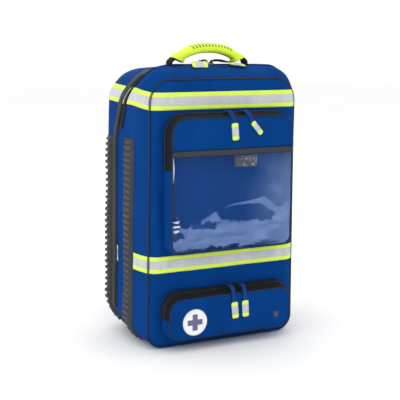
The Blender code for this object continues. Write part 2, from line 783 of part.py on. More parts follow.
def make_pocket_sliders():
    width, length, height = POCKET_SLIDER
    rows = (("upper", UPPER_SLIDER_X, *UPPER_SLIDER, UPPER_FRONT - UPPER_DROP, UPPER_TAB_TOP_Z),
            ("lower", LOWER_SLIDER_X, *LOWER_SLIDER, LOWER_FRONT - LOWER_DROP, LOWER_TAB_TOP_Z))
    for pocket, places, depth, z, drop_depth, tab_top in rows:
        for word, x in zip(("left", "right"), places):
            y = FRONT_Y + depth
            box_object(f"{pocket}_slider_{word}", (x - width / 2, y - length / 2, z),
                       (x + width / 2, y + length / 2, z + height), "black_plastic", 0.0008)
            make_pocket_pull(f"{pocket}_pull_{word}", x, depth + PULL_INSET, z + height + GAP,
                             drop_depth, tab_top)


# ---------------------------------------------------------------- handle

def make_handle():
    y = FRONT_Y + HANDLE_DEPTH
    points = []
    for step in range(GRIP_STEPS + 1):
        x = GRIP_HALF_LENGTH * (2 * step / GRIP_STEPS - 1)
        points.append((x, y, GRIP_END_Z + GRIP_RISE * (1 - (x / GRIP_HALF_LENGTH) ** 2)))
    curve_tube("handle_grip", points, GRIP_RADIUS, "yellow_grip", resolution=2)
    foot_z = max(row[3] + row[7] for row in BAG) + HANDLE_FOOT_LIFT
    for word, side in (("left", -1), ("right", 1)):
        make_handle_loop(word, side, y, foot_z)


def make_handle_loop(word, side, y, foot_z):
    """A webbing end that lies on the crest, turns up and goes into the grip."""
    end_x = GRIP_HALF_LENGTH + 0.0045
    route = ((0.0925, foot_z), (0.100, foot_z), (0.1085, foot_z + 0.0030), (0.1120, foot_z + 0.0095),
             (0.1095, foot_z + 0.0165), (0.1030, foot_z + 0.0200), (end_x, foot_z + 0.0170))
    normals = ((0, 1), (0, 1), (-0.6, 0.8), (-1, 0), (-0.8, -0.6), (-0.1, -1), (0.3, -1))
    rings = []
    for (x, z), (nx, nz) in zip(route, normals):
        size = math.hypot(nx, nz)
        lift = Vector((nx / size * HANDLE_WEB_THICKNESS, 0, nz / size * HANDLE_WEB_THICKNESS))
        across = Vector((0, HANDLE_WEB_WIDTH / 2, 0))
        centre = Vector((x, y, z))
        ring = [centre - across, centre + across, centre + across + lift, centre - across + lift]
        rings.append([Vector((side * point.x, point.y, point.z)) for point in ring])
    return loft_object(f"handle_loop_{word}", rings, "black_tape")


# ---------------------------------------------------------------- inside

def make_divider(name, z):
    depths = [DIVIDER_DEPTHS[0], BAG[1][0], BAG[2][0], BAG[4][0], DIVIDER_DEPTHS[1]]
    right = [(edge_x(BAG, depth, z) - DIVIDER_MARGIN, depth) for depth in depths]
    flat = right + [(-x, depth) for x, depth in reversed(right)]
    rings = []
    for level in (z - DIVIDER_THICKNESS / 2, z + DIVIDER_THICKNESS / 2):
        rings.append([Vector((x, FRONT_Y + depth, level)) for x, depth in flat])
    return loft_object(name, rings, "divider_foam")


def make_stiffener():
    half, low, high, depth_from, depth_to = STIFFENER
    box_object("back_stiffener", (-half, FRONT_Y + depth_from, low),
               (half, FRONT_Y + depth_to, high), "frame_sheet")


# ---------------------------------------------------------------- harness

def make_pad(name, x_from, x_to, z_from, z_to):
    y = FRONT_Y + BACK_DEPTH + GAP
    return box_object(name, (x_from, y, z_from), (x_to, y + PAD_THICKNESS, z_to), "mesh_pad", 0.005)


def make_strap(word, side):
    route = []
    for depth, z, out, half in STRAP_ROUTE:
        centre = Vector((side * (STRAP_X + out), FRONT_Y + depth, z))
        route.append((centre, half, Vector((0, 1, 0))))
    head_z, head_half = STRAP_HEAD
    head = Vector((side * STRAP_X, FRONT_Y + BACK_DEPTH + GAP, head_z))
    route.insert(0, (head, head_half, Vector((0, 1, 0.8))))
    obj = loft_object(f"shoulder_strap_{word}", strip_rings(route, STRAP_THICKNESS), "mesh_pad")
    round_edges(obj, 0.003, 1)
    lock_x = side * STRAP_WEB_X
    box_object(f"ladder_lock_{word}", (lock_x - LOCK_HALF_WIDTH, FRONT_Y + LOCK_DEPTHS[0], LOCK_Z[0]),
               (lock_x + LOCK_HALF_WIDTH, FRONT_Y + LOCK_DEPTHS[1], LOCK_Z[1]), "black_plastic", 0.0015)
    web = []
    for depth, z in STRAP_WEB_ROUTE:
        web.append((Vector((lock_x, FRONT_Y + depth, z)), STRAP_WEB_HALF_WIDTH, Vector((0, 1, 0.2))))
    loft_object(f"strap_webbing_{word}", strip_rings(web, WEB_THICKNESS), "black_tape")


def make_sternum():
    y = FRONT_Y + STERNUM_DEPTH + STRAP_THICKNESS
    for word, side in (("left", -1), ("right", 1)):
        low_x, high_x = sorted(side * x for x in STERNUM_WEB_X)
        box_object(f"sternum_webbing_{word}", (low_x, y, STERNUM_Z - STERNUM_WEB_HALF),
                   (high_x, y + WEB_THICKNESS, STERNUM_Z + STERNUM_WEB_HALF), "black_tape")
    for name, (low_x, high_x) in (("buckle_female", BUCKLE_FEMALE_X), ("buckle_male", BUCKLE_MALE_X)):
        box_object(name, (low_x, y - BUCKLE_HALF_DEPTH, STERNUM_Z - BUCKLE_HALF_HEIGHT),
                   (high_x, y + BUCKLE_HALF_DEPTH, STERNUM_Z + BUCKLE_HALF_HEIGHT), "black_plastic", 0.0015)


def main():
    make_main_shell()
    make_rear_shell()
    make_front_piping()
    make_rail("front_skid_rail", *FRONT_RAIL)
    make_rail("rear_skid_rail", *REAR_RAIL)
    make_bands()
    make_zip_tape()
    make_zip_cover("left", -1, COVER_LOW_Z)
    make_zip_cover("right", 1, HINGE_STRIP_Z[1] + 5 * GAP)
    make_hinge_strip()
    make_main_sliders()
    make_upper_pocket()
    make_upper_window()
    make_pocket_zip("upper_pocket_zip", UPPER_POCKET, UPPER_ZIP, UPPER_ZIP_END_Z)
    make_lower_pocket()
    make_pocket_zip("lower_pocket_zip", LOWER_POCKET, LOWER_ZIP, LOWER_ZIP_END_Z)
    make_pocket_sliders()
    make_handle()
    for number, z in enumerate(DIVIDER_Z, 1):
        make_divider(f"divider_{number}", z)
    make_stiffener()
    make_pad("back_pad_left", -BACK_PAD[1], -BACK_PAD[0], BACK_PAD[2], BACK_PAD[3])
    make_pad("back_pad_right", *BACK_PAD)
    make_pad("lumbar_pad", *LUMBAR_PAD)
    for word, side in (("left", -1), ("right", 1)):
        make_strap(word, side)
    make_sternum()


main()
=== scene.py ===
"""Looks of the emergency backpack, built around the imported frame. Metres, +Z up, front panel towards -Y."""

import math

import bmesh
import bpy
import numpy as np
from mathutils import Matrix, Vector


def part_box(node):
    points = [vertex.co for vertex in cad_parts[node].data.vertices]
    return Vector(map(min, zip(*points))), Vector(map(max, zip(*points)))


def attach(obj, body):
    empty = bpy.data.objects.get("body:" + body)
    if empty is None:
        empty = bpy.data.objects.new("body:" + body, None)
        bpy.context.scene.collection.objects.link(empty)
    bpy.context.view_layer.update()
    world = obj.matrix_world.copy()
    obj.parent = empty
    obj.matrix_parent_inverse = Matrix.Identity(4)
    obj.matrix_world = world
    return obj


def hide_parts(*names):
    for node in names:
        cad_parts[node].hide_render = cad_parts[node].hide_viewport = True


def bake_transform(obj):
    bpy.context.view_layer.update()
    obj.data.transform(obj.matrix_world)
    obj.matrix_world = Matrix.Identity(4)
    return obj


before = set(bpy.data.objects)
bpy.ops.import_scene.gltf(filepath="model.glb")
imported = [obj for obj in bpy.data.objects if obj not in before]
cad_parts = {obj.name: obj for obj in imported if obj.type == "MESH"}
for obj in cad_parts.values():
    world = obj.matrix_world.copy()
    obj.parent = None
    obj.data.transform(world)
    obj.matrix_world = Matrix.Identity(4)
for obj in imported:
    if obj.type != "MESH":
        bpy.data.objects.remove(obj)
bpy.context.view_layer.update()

BACK_DEPTH = 0.238
FRONT_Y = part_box("rear_shell")[1].y - BACK_DEPTH

# The bag's loft: depth, half width, bottom z, top z, top corner (across, down), bottom radius, top arch
BAG = (
    (0.000, 0.19000, 0.0050, 0.6280, 0.050, 0.055, 0.0370, 0.000),
    (0.025, 0.19750, 0.0072, 0.6390, 0.052, 0.058, 0.0410, 0.002),
    (0.058, 0.20250, 0.0085, 0.6470, 0.055, 0.062, 0.0475, 0.003),
    (0.092, 0.20350, 0.0085, 0.6515, 0.060, 0.066, 0.0560, 0.004),
    (0.127, 0.20450, 0.0085, 0.6525, 0.064, 0.070, 0.0650, 0.005),
    (0.155, 0.20450, 0.0085, 0.6510, 0.067, 0.073, 0.0760, 0.004),
    (0.172, 0.20500, 0.0085, 0.6500, 0.069, 0.075, 0.0820, 0.004),
    (0.190, 0.20433, 0.0085, 0.6485, 0.070, 0.076, 0.0890, 0.003),
    (0.212, 0.20350, 0.0085, 0.6460, 0.070, 0.076, 0.0975, 0.002),
    (0.228, 0.19600, 0.0110, 0.6390, 0.068, 0.072, 0.1020, 0.002),
    (0.238, 0.18400, 0.0220, 0.6220, 0.060, 0.062, 0.0940, 0.001),
)
ZIP_DEPTH = 0.155
ZIP_LEAN = 0.055
LEAN_Z = (0.460, 0.650)
CORNER_DRIFT = 0.045       # how much further forward the zip runs round the upper corners
CORNER_Z = (0.565, 0.650)
CORNER_X = (0.100, 0.150)
FLARE = 0.028
FLARE_TOP = 0.47
MAIN_END = 0.1530
REAR_START = 0.1565
CROWN_INSET = 0.026
CROWN_RISE = 0.012

UPPER_FRONT = -0.0500
LOWER_FRONT = -0.0494
POCKET_BACK = -0.0137
UPPER_POCKET = (
    (UPPER_FRONT, 0.1590, 0.234, 0.5460, 0.038, 0.038, 0.024, 0.0),
    (POCKET_BACK, 0.1630, 0.230, 0.5530, 0.044, 0.044, 0.028, 0.0),
)
LOWER_POCKET = (
    (LOWER_FRONT, 0.1620, 0.031, 0.1280, 0.034, 0.034, 0.028, 0.0),
    (POCKET_BACK, 0.1670, 0.026, 0.1430, 0.038, 0.038, 0.032, 0.0),
)
HINGE_Z = 0.4710
UPPER_BAND = (0.561, 0.601)
LOWER_BAND = (0.1855, 0.2245)
RNG = np.random.default_rng(11)


# ---------------------------------------------------------------- shapes in numbers

def smooth(low, high, value):
    share = np.clip((np.asarray(value, float) - low) / (high - low), 0, 1)
    return share * share * (3 - 2 * share)


def columns_at(table, depth):
    """The loft's columns at a depth, on a smooth curve through its rows."""
    keys = np.array([row[0] for row in table])
    values = np.array([row[1:] for row in table])
    slopes = np.gradient(values, keys, axis=0)
    depth = min(max(depth, keys[0]), keys[-1])
    i = min(int(np.searchsorted(keys, depth, side="right")) - 1, len(keys) - 2)
    span = keys[i + 1] - keys[i]
    t = (depth - keys[i]) / span
    return (
        (1 + 2 * t) * (1 - t) ** 2 * values[i] + t * (1 - t) ** 2 * span * slopes[i]
        + t * t * (3 - 2 * t) * values[i + 1] + t * t * (t - 1) * span * slopes[i + 1]
    )


def lengths_of(points):
    steps = np.linalg.norm(np.diff(points, axis=0), axis=1)
    return np.concatenate([[0.0], np.cumsum(steps)])


def resample(points, count):
    """The same polyline with count evenly spaced points."""
    lengths = lengths_of(points)
    at = np.linspace(0, lengths[-1], count)
    return np.stack([np.interp(at, lengths, points[:, k]) for k in range(points.shape[1])], axis=1)


def arc(centre, across, down, start):
    angles = np.radians(np.linspace(start, start + 90, 25))
    return np.stack([centre[0] + across * np.cos(angles), centre[1] + down * np.sin(angles)], axis=1)


def half_outline(table, depth, offset=0.0, count=500):
    """The right half of the loft's section as (x, z), from the bottom centre up to the top centre."""
    half, low, high, across, down, round_low, arch = columns_at(table, depth)
    half, low, high = half + offset, low - offset, high + offset
    across, down, round_low = (max(0.004, value + offset) for value in (across, down, round_low))
    points = np.concatenate([
        [[0.0, low]],
        arc((half - round_low, low + round_low), round_low, round_low, 270),
        arc((half - across, high - down), across, down, 0),
        [[0.0, high]],
    ])
    points = resample(points, count)
    if table is BAG:
        x, z = points.T
        z = z + arch * (1 - (x / half) ** 2) * np.clip((z - high + down) / down, 0, None)
        x = x * (1 + FLARE * np.clip((FLARE_TOP - z) / FLARE_TOP, 0, None))
        points = np.stack([x, z], axis=1)
    return points


def lean(depth, x, z):
    """How far the zip line's forward swing moves a place on the loft."""
    corner = smooth(*CORNER_Z, z) * smooth(*CORNER_X, np.abs(x))
    swing = ZIP_LEAN * smooth(*LEAN_Z, z) + CORNER_DRIFT * corner
    if depth <= ZIP_DEPTH:
        return -swing * max(0.0, depth / ZIP_DEPTH)
    return -swing * (BACK_DEPTH - depth) / (BACK_DEPTH - ZIP_DEPTH)


WAVES = [(RNG.normal(size=3), RNG.uniform(0, 2 * math.pi)) for _ in range(9)]


def xyz(x, y, z):
    """Points from coordinates, any of which may be one number for all of them."""
    return np.stack(np.broadcast_arrays(x, y, z), axis=1)


def upright(directions):
    """Section directions (x, z) as directions in space."""
    return xyz(directions[:, 0], 0.0, directions[:, 1])


def folds(points, size):
    """A smooth irregular value between about -1 and 1, the same for every piece that passes a place."""
    total = np.zeros(len(points))
    for direction, phase in WAVES:
        total += np.sin(points @ direction * (2 * math.pi / size) + phase)
    return total / len(WAVES) * 1.6


def outward(points):
    """Directions away from the middle for section points (x, z)."""
    along = np.gradient(points, axis=0)
    normals = np.stack([along[:, 1], -along[:, 0]], axis=1)
    normals /= np.maximum(np.linalg.norm(normals, axis=1), 1e-9)[:, None]
    away = (normals * (points - (0.0, points[:, 1].mean()))).sum(1)
    return normals * np.where(away < 0, -1.0, 1.0)[:, None]


def slack(points, depth):
    """How far the fabric stands off the loft at section points: broad soft waves."""
    x, z = points.T
    spots = xyz(x, depth, z)
    if depth < 0:
        return 0.0007 * folds(spots, 0.11)
    calm = smooth(0.0, 0.03, depth) * smooth(0.240, 0.215, depth) * smooth(0.010, 0.060, z)
    return calm * (0.0016 * folds(spots, 0.19) + 0.0005 * folds(spots, 0.06))


def place(points, depth):
    """Section points (x, z) as points in space, on the slack fabric."""
    x, z = (points + outward(points) * slack(points, depth)[:, None]).T
    return xyz(x, FRONT_Y + depth + lean(depth, x, z), z)


def ring(table, depth, offset=0.0, count=400):
    """The whole closed section, from the bottom centre anticlockwise seen from the front."""
    right = half_outline(table, depth, offset, count // 2 + 1)
    left = right[::-1][1:-1] * (-1, 1)
    return place(np.concatenate([right, left]), depth)


def edge_x(table, depth, z, offset=0.0):
    right = half_outline(table, depth, offset)
    return float(np.interp(z, right[:, 1], right[:, 0]))


def looked_up(table, lengths, wanted):
    """Rows of a table at wanted lengths along it."""
    return np.stack([np.interp(wanted, lengths, column) for column in np.asarray(table).T], axis=1)


def cut_run(points, low_z=None, top_x=None, high_z=None):
    """Keeps a half outline from low_z up, and as far as top_x over the top or high_z up the side."""
    lengths = lengths_of(points)
    start, end = 0.0, lengths[-1]
    if low_z is not None:
        start = float(np.interp(low_z, points[:, 1], lengths))
    if high_z is not None:
        end = float(np.interp(high_z, points[:, 1], lengths))
    if top_x is not None:
        upper = points[:, 1] > 0.5 * points[-1, 1]
        end = float(np.interp(-top_x, -points[upper, 0], lengths[upper]))
    inside = (lengths > start) & (lengths < end)
    return looked_up(points, lengths, np.concatenate([[start], lengths[inside], [end]]))


def run(table, depth, lift, side, count, **ends):
    """One side of the section, cut to a stretch, in space."""
    points = resample(cut_run(half_outline(table, depth, lift), **ends), count)
    return place(points * (side, 1), depth)


def both_sides(table, depth, lift, count, low_z):
    """The section from low_z on the right, over the top, to low_z on the left."""
    right = cut_run(half_outline(table, depth, lift), low_z=low_z)
    left = right[::-1][1:] * (-1, 1)
    return place(resample(np.concatenate([right, left]), count), depth)


def panel_waves(x, z, inset):
    """Soft waves of the front panel: broad ones, and creases that run up and down near its edges."""
    spots = xyz(x, 0.0, z)
    broad = 0.0011 * folds(spots, 0.16)
    creases = 0.0017 * folds(spots * (1.0, 1.0, 0.30), 0.040) * smooth(0.060, 0.03, inset)
    return (broad + creases) * smooth(0, 0.02, inset)


def crown(inset):
    """How far the front panel stands forward of its piped edge."""
    share = np.clip(np.asarray(inset, float) / CROWN_INSET, 0, 1)
    return CROWN_RISE * (1 - (1 - share) ** 2)


# ---------------------------------------------------------------- meshes

def add(name, mesh):
    obj = bpy.data.objects.new(name, mesh)
    bpy.context.scene.collection.objects.link(obj)
    return obj


def attribute(mesh, name, values):
    values = np.asarray(values, np.float32)
    kind = "FLOAT" if values.ndim == 1 else "FLOAT_VECTOR"
    layer = mesh.attributes.new(name, kind, "POINT")
    layer.data.foreach_set("value" if kind == "FLOAT" else "vector", values.ravel())


def mesh_of(name, verts, faces):
    mesh = bpy.data.meshes.new(name)
    mesh.from_pydata(verts, [], faces)
    mesh.shade_smooth()
    return mesh


def quads(index):
    """Faces between the neighbours of a grid of vertex numbers."""
    corners = (index[:-1, :-1], index[1:, :-1], index[1:, 1:], index[:-1, 1:])
    return np.stack(corners, axis=-1).reshape(-1, 4).tolist()


def tube_faces(rows, columns, closed=False):
    """Faces of a tube of rings, with both ends filled unless it is closed into a loop."""
    index = np.arange(rows * columns).reshape(rows, columns)
    if closed:
        index = np.concatenate([index, index[:1]])
    faces = quads(np.concatenate([index, index[:, :1]], axis=1))
    if not closed:
        faces.append(list(range(columns)))
        faces.append([(rows - 1) * columns + k for k in reversed(range(columns))])
    return faces


def face_out(mesh):
    build = bmesh.new()
    build.from_mesh(mesh)
    bmesh.ops.recalc_face_normals(build, faces=build.faces)
    build.to_mesh(mesh)
    build.free()


def surface(name, grid, wrap=False, away_from=None):
    """A quad mesh over a grid of points. Attribute run: length along the rows, share across."""
    rows, columns = grid.shape[:2]
    lengths = np.stack([lengths_of(grid[:, k]) for k in range(columns)], axis=1)
    share = np.broadcast_to(np.linspace(0, 1, columns), (rows, columns))
    index = np.arange(rows * columns).reshape(rows, columns)
    if wrap:
        index = np.concatenate([index, index[:1]])
    mesh = mesh_of(name, grid.reshape(-1, 3).tolist(), quads(index))
    attribute(mesh, "run", np.stack([lengths, share, 0 * lengths], axis=-1).reshape(-1, 3))
    if away_from is not None:
        face_away(mesh, away_from)
    return add(name, mesh)


def face_away(mesh, point):
    """Turns the mesh so that its faces look away from a point."""
    count = len(mesh.polygons)
    normals, centres, areas = np.zeros(count * 3), np.zeros(count * 3), np.zeros(count)
    mesh.polygons.foreach_get("normal", normals)
    mesh.polygons.foreach_get("center", centres)
    mesh.polygons.foreach_get("area", areas)
    outward = ((centres.reshape(-1, 3) - np.array(point)) * normals.reshape(-1, 3)).sum(1)
    if (outward * areas).sum() < 0:
        mesh.flip_normals()


def positions(obj):
    flat = np.zeros(len(obj.data.vertices) * 3)
    obj.data.vertices.foreach_get("co", flat)
    return flat.reshape(-1, 3)


def normals_of(obj):
    flat = np.zeros(len(obj.data.vertices) * 3)
    obj.data.vertices.foreach_get("normal", flat)
    return flat.reshape(-1, 3)


def set_positions(obj, points):
    obj.data.vertices.foreach_set("co", np.asarray(points, np.float32).ravel())
    obj.data.update()


def merge(obj, distance=0.00002):
    build = bmesh.new()
    build.from_mesh(obj.data)
    bmesh.ops.remove_doubles(build, verts=build.verts, dist=distance)
    build.to_mesh(obj.data)
    build.free()
    obj.data.shade_smooth()


def thicken(obj, thickness, bevel=0.0):
    """Gives a sheet its thickness, inwards from the side that its faces look to."""
    solid = obj.modifiers.new("thickness", "SOLIDIFY")
    solid.thickness = thickness
    solid.offset = -1.0
    solid.use_rim = True
    if bevel:
        round_off(obj, bevel)
    return obj


def round_off(obj, width, segments=2, angle=40):
    edges = obj.modifiers.new("edges", "BEVEL")
    edges.width = width
    edges.segments = segments
    edges.limit_method = "ANGLE"
    edges.angle_limit = math.radians(angle)
    edges.harden_normals = False


def apply_modifiers(obj):
    graph = bpy.context.evaluated_depsgraph_get()
    graph.update()
    mesh = bpy.data.meshes.new_from_object(obj.evaluated_get(graph))
    obj.modifiers.clear()
    obj.data = mesh
    return obj


def join(name, objects):
    """Several meshes as one piece. Their material slots stay."""
    for obj in objects:
        apply_modifiers(obj)
    first = objects[0]
    with bpy.context.temp_override(active_object=first, selected_editable_objects=list(objects)):
        bpy.ops.object.join()
    first.name = name
    first.data.name = name
    return first


def frames_along(points, side, closed=False):
    """Side and up vectors at each point of a path, with the side near the one given."""
    tangents = np.gradient(points, axis=0)
    if closed:
        tangents = np.roll(points, -1, axis=0) - np.roll(points, 1, axis=0)
    tangents /= np.linalg.norm(tangents, axis=1)[:, None]
    sides = np.broadcast_to(np.asarray(side, float), points.shape)
    sides = sides - tangents * (sides * tangents).sum(1)[:, None]
    sides = sides / np.maximum(np.linalg.norm(sides, axis=1), 1e-9)[:, None]
    return sides, np.cross(sides, tangents)


def sweep(name, points, profile, side=(1, 0, 0), scale=None, closed=False):
    """Sweeps a closed profile (side, up) along a path."""
    points = np.asarray(points, float)
    sides, ups = frames_along(points, side, closed)
    profile = np.asarray(profile, float)
    sizes = np.ones((len(points), 2)) if scale is None else np.asarray(scale, float)
    grid = points[:, None] + sides[:, None] * (profile[None, :, :1] * sizes[:, None, :1]) \
        + ups[:, None] * (profile[None, :, 1:] * sizes[:, None, 1:])
    rows, columns = grid.shape[:2]
    mesh = mesh_of(name, grid.reshape(-1, 3).tolist(), tube_faces(rows, columns, closed))
    lengths = np.broadcast_to(lengths_of(points)[:, None], (rows, columns))
    share = np.broadcast_to(np.linspace(0, 1, columns), (rows, columns))
    attribute(mesh, "run", np.stack([lengths, share, 0 * lengths], axis=-1).reshape(-1, 3))
    face_out(mesh)
    mesh.set_sharp_from_angle(angle=math.radians(50))
    return add(name, mesh)


def round_profile(radius, count=12, flat=1.0):
    angles = np.linspace(0, 2 * math.pi, count, endpoint=False)
    return np.stack([radius * np.cos(angles), radius * flat * np.sin(angles)], axis=1)


def pad_profile(half_width, half_thickness, power=3.0, count=32):
    """A rounded flat section, squarer with a higher power."""
    angles = np.linspace(0, 2 * math.pi, count, endpoint=False)
    c, s = np.cos(angles), np.sin(angles)
    return np.stack([
        half_width * np.sign(c) * np.abs(c) ** (2 / power),
        half_thickness * np.sign(s) * np.abs(s) ** (2 / power),
    ], axis=1)


def curve_through(points, count):
    """A smooth path through given points."""
    points = np.asarray(points, float)
    keys = lengths_of(points)
    slopes = np.gradient(points, keys, axis=0)
    at = np.linspace(0, keys[-1], count)
    i = np.clip(np.searchsorted(keys, at, side="right") - 1, 0, len(keys) - 2)
    span = (keys[i + 1] - keys[i])[:, None]
    t = (at[:, None] - keys[i][:, None]) / span
    return ((1 + 2 * t) * (1 - t) ** 2 * points[i] + t * (1 - t) ** 2 * span * slopes[i]
            + t * t * (3 - 2 * t) * points[i + 1] + t * t * (t - 1) * span * slopes[i + 1])


def tube(name, points, radius, corners=10, closed=False, side=(0, 1, 0)):
    return sweep(name, points, round_profile(radius, corners), side, closed=closed)


def strap(name, points, width, thickness, side=(1, 0, 0), scale=None):
    """A flat webbing along a path, its width along the side direction."""
    return sweep(name, points, pad_profile(width / 2, thickness / 2, 6.0, 20), side, scale)


def block(name, low, high, bevel, segments=3):
    """A moulded block with rounded edges."""
    build = bmesh.new()
    bmesh.ops.create_cube(build, size=1.0)
    low, high = Vector(low), Vector(high)
    bmesh.ops.scale(build, vec=high - low, verts=build.verts)
    bmesh.ops.translate(build, vec=(low + high) / 2, verts=build.verts)
    bmesh.ops.bevel(build, geom=build.edges[:], offset=bevel, segments=segments, affect="EDGES", profile=0.5)
    mesh = bpy.data.meshes.new(name)
    build.to_mesh(mesh)
    build.free()
    mesh.shade_smooth()
    mesh.set_sharp_from_angle(angle=math.radians(50))
    return add(name, mesh)


def stitches(name, points, normals, look, pitch=0.0042, radius=0.00035):
    """A row of short thread stitches along a line, lying on the surface."""
    points = np.asarray(points, float)
    lengths = lengths_of(points)
    count = max(2, int(lengths[-1] / pitch))
    at = (np.arange(count) + 0.5) * lengths[-1] / count
    centre = looked_up(points, lengths, at)
    along = looked_up(points, lengths, at + 0.0005) - looked_up(points, lengths, at - 0.0005)
    along /= np.maximum(np.linalg.norm(along, axis=1), 1e-9)[:, None]
    normals = np.broadcast_to(normals, points.shape)
    up = looked_up(normals, lengths, at)
    up /= np.maximum(np.linalg.norm(up, axis=1), 1e-9)[:, None]
    side = np.cross(along, up)
    half = pitch * 0.33
    verts, faces = [], []
    stations = ((-1.0, 0.15), (-0.5, 0.9), (0.5, 0.9), (1.0, 0.15))
    for c, t, n, s in zip(centre, along, up, side):
        base = len(verts)
        for share, rise in stations:
            middle = c + t * half * share
            for corner in range(4):
                angle = math.pi / 4 + corner * math.pi / 2
                out = radius * (0.5 + 0.5 * rise)
                height = out * math.sin(angle) + radius * rise * 0.6
                verts.append(middle + s * out * math.cos(angle) + n * height)
        for row in range(3):
            for corner in range(4):
                a = base + row * 4 + corner
                b = base + row * 4 + (corner + 1) % 4
                faces.append((a, b, b + 4, a + 4))
        faces.append((base + 3, base + 2, base + 1, base))
        faces.append((base + 12, base + 13, base + 14, base + 15))
    return dress(add(name, mesh_of(name, [tuple(v) for v in verts], faces)), look)


# ---------------------------------------------------------------- materials

def operation(kind, swapped=False):
    """A method that adds a math node of this kind."""
    def apply(self, other):
        pair = (other, self) if swapped else (self, other)
        return self.shader.math(kind, *pair)
    return apply


class Level:
    """A node's output, which can be added, multiplied and compared like a number."""

    __add__ = operation("ADD")
    __radd__ = operation("ADD", swapped=True)
    __sub__ = operation("SUBTRACT")
    __rsub__ = operation("SUBTRACT", swapped=True)
    __mul__ = operation("MULTIPLY")
    __truediv__ = operation("DIVIDE")
    __gt__ = operation("GREATER_THAN")
    __lt__ = operation("LESS_THAN")

    def __init__(self, shader, socket):
        self.shader = shader
        self.socket = socket

    def __abs__(self):
        return self.shader.math("ABSOLUTE", self)


class Shader:
    """A Principled material and short ways to add nodes in front of it."""

    def __init__(self, name, roughness=0.6, **sockets):
        self.material = bpy.data.materials.new(name)
        self.material.use_nodes = True
        self.tree = self.material.node_tree
        self.main = self.tree.nodes["Principled BSDF"]
        self.main.inputs["Roughness"].default_value = roughness
        for key, value in sockets.items():
            self.main.inputs[key.replace("_", " ")].default_value = value
        self.coordinates = None

    def node(self, kind, **settings):
        item = self.tree.nodes.new(kind)
        for key, value in settings.items():
            setattr(item, key, value)
        return item

    def feed(self, socket, value):
        if isinstance(value, Level):
            self.tree.links.new(value.socket, socket)
        else:
            socket.default_value = value

    def math(self, kind, *values):
        item = self.node("ShaderNodeMath", operation=kind)
        for socket, value in zip(item.inputs, values):
            self.feed(socket, value)
        return Level(self, item.outputs[0])

    def clamped(self, level):
        """The same level, held between 0 and 1."""
        level.socket.node.use_clamp = True
        return level

    def larger(self, first, second):
        return self.math("MAXIMUM", first, second)

    def coordinate(self, kind):
        if self.coordinates is None:
            self.coordinates = self.node("ShaderNodeTexCoord")
        return Level(self, self.coordinates.outputs[kind])

    def object_point(self):
        return self.coordinate("Object")

    def split(self, vector):
        item = self.node("ShaderNodeSeparateXYZ")
        self.feed(item.inputs[0], vector)
        return [Level(self, output) for output in item.outputs]

    def scaled(self, vector, scale):
        item = self.node("ShaderNodeMapping")
        self.feed(item.inputs["Vector"], vector)
        item.inputs["Scale"].default_value = scale
        return Level(self, item.outputs[0])

    def noise(self, scale, detail=3.0, roughness=0.55, vector=None, distortion=0.0):
        item = self.node("ShaderNodeTexNoise")
        self.feed(item.inputs["Vector"], vector or self.object_point())
        item.inputs["Scale"].default_value = scale
        item.inputs["Detail"].default_value = detail
        item.inputs["Roughness"].default_value = roughness
        item.inputs["Distortion"].default_value = distortion
        return Level(self, item.outputs["Fac"])

    def cells(self, scale, randomness=1.0):
        """Distance to the nearest of many scattered points."""
        item = self.node("ShaderNodeTexVoronoi", feature="F1")
        self.feed(item.inputs["Vector"], self.object_point())
        item.inputs["Scale"].default_value = scale
        item.inputs["Randomness"].default_value = randomness
        return Level(self, item.outputs["Distance"])

    def ramp(self, value, *stops):
        item = self.node("ShaderNodeValToRGB")
        self.feed(item.inputs["Fac"], value)
        elements = item.color_ramp.elements
        while len(elements) < len(stops):
            elements.new(0.5)
        for element, (at, colour) in zip(elements, stops):
            element.position = at
            element.color = colour if len(colour) == 4 else (*colour, 1)
        return Level(self, item.outputs["Color"])

    def mix(self, factor, first, second):
        item = self.node("ShaderNodeMix", data_type="RGBA")
        self.feed(item.inputs[0], factor)
        for socket, colour in ((item.inputs[6], first), (item.inputs[7], second)):
            self.feed(socket, colour if isinstance(colour, Level) else (*colour, 1))
        return Level(self, item.outputs[2])

    def wave(self, value, pitch):
        return self.math("SINE", value * (2 * math.pi / pitch))

    def weave(self, pitch):
        """Plain weave: two thread directions on the front, the sides and the top alike."""
        x, y, z = self.split(self.object_point())
        normal = self.split(self.coordinate("Normal"))
        flat = abs(normal[2]) > 0.7
        across = x + y * (1.0 - flat)
        along = z * (1.0 - flat) + y * flat
        return self.wave(across, pitch) * self.wave(along, pitch)

    def attribute(self, name="run"):
        item = self.node("ShaderNodeAttribute", attribute_name=name)
        return Level(self, item.outputs["Vector"])

    def bump(self, height, distance, strength=1.0, below=None):
        item = self.node("ShaderNodeBump")
        item.inputs["Distance"].default_value = distance
        item.inputs["Strength"].default_value = strength
        self.feed(item.inputs["Height"], height)
        if below is not None:
            self.feed(item.inputs["Normal"], below)
        return Level(self, item.outputs["Normal"])

    def end(self, colour=None, roughness=None, normal=None, alpha=None):
        sockets = {"Base Color": colour, "Roughness": roughness, "Normal": normal, "Alpha": alpha}
        for key, value in sockets.items():
            if value is not None:
                self.feed(self.main.inputs[key], value)
        return self.material


def shade_of(colour, factor):
    return tuple(min(1.0, channel * factor) for channel in colour)


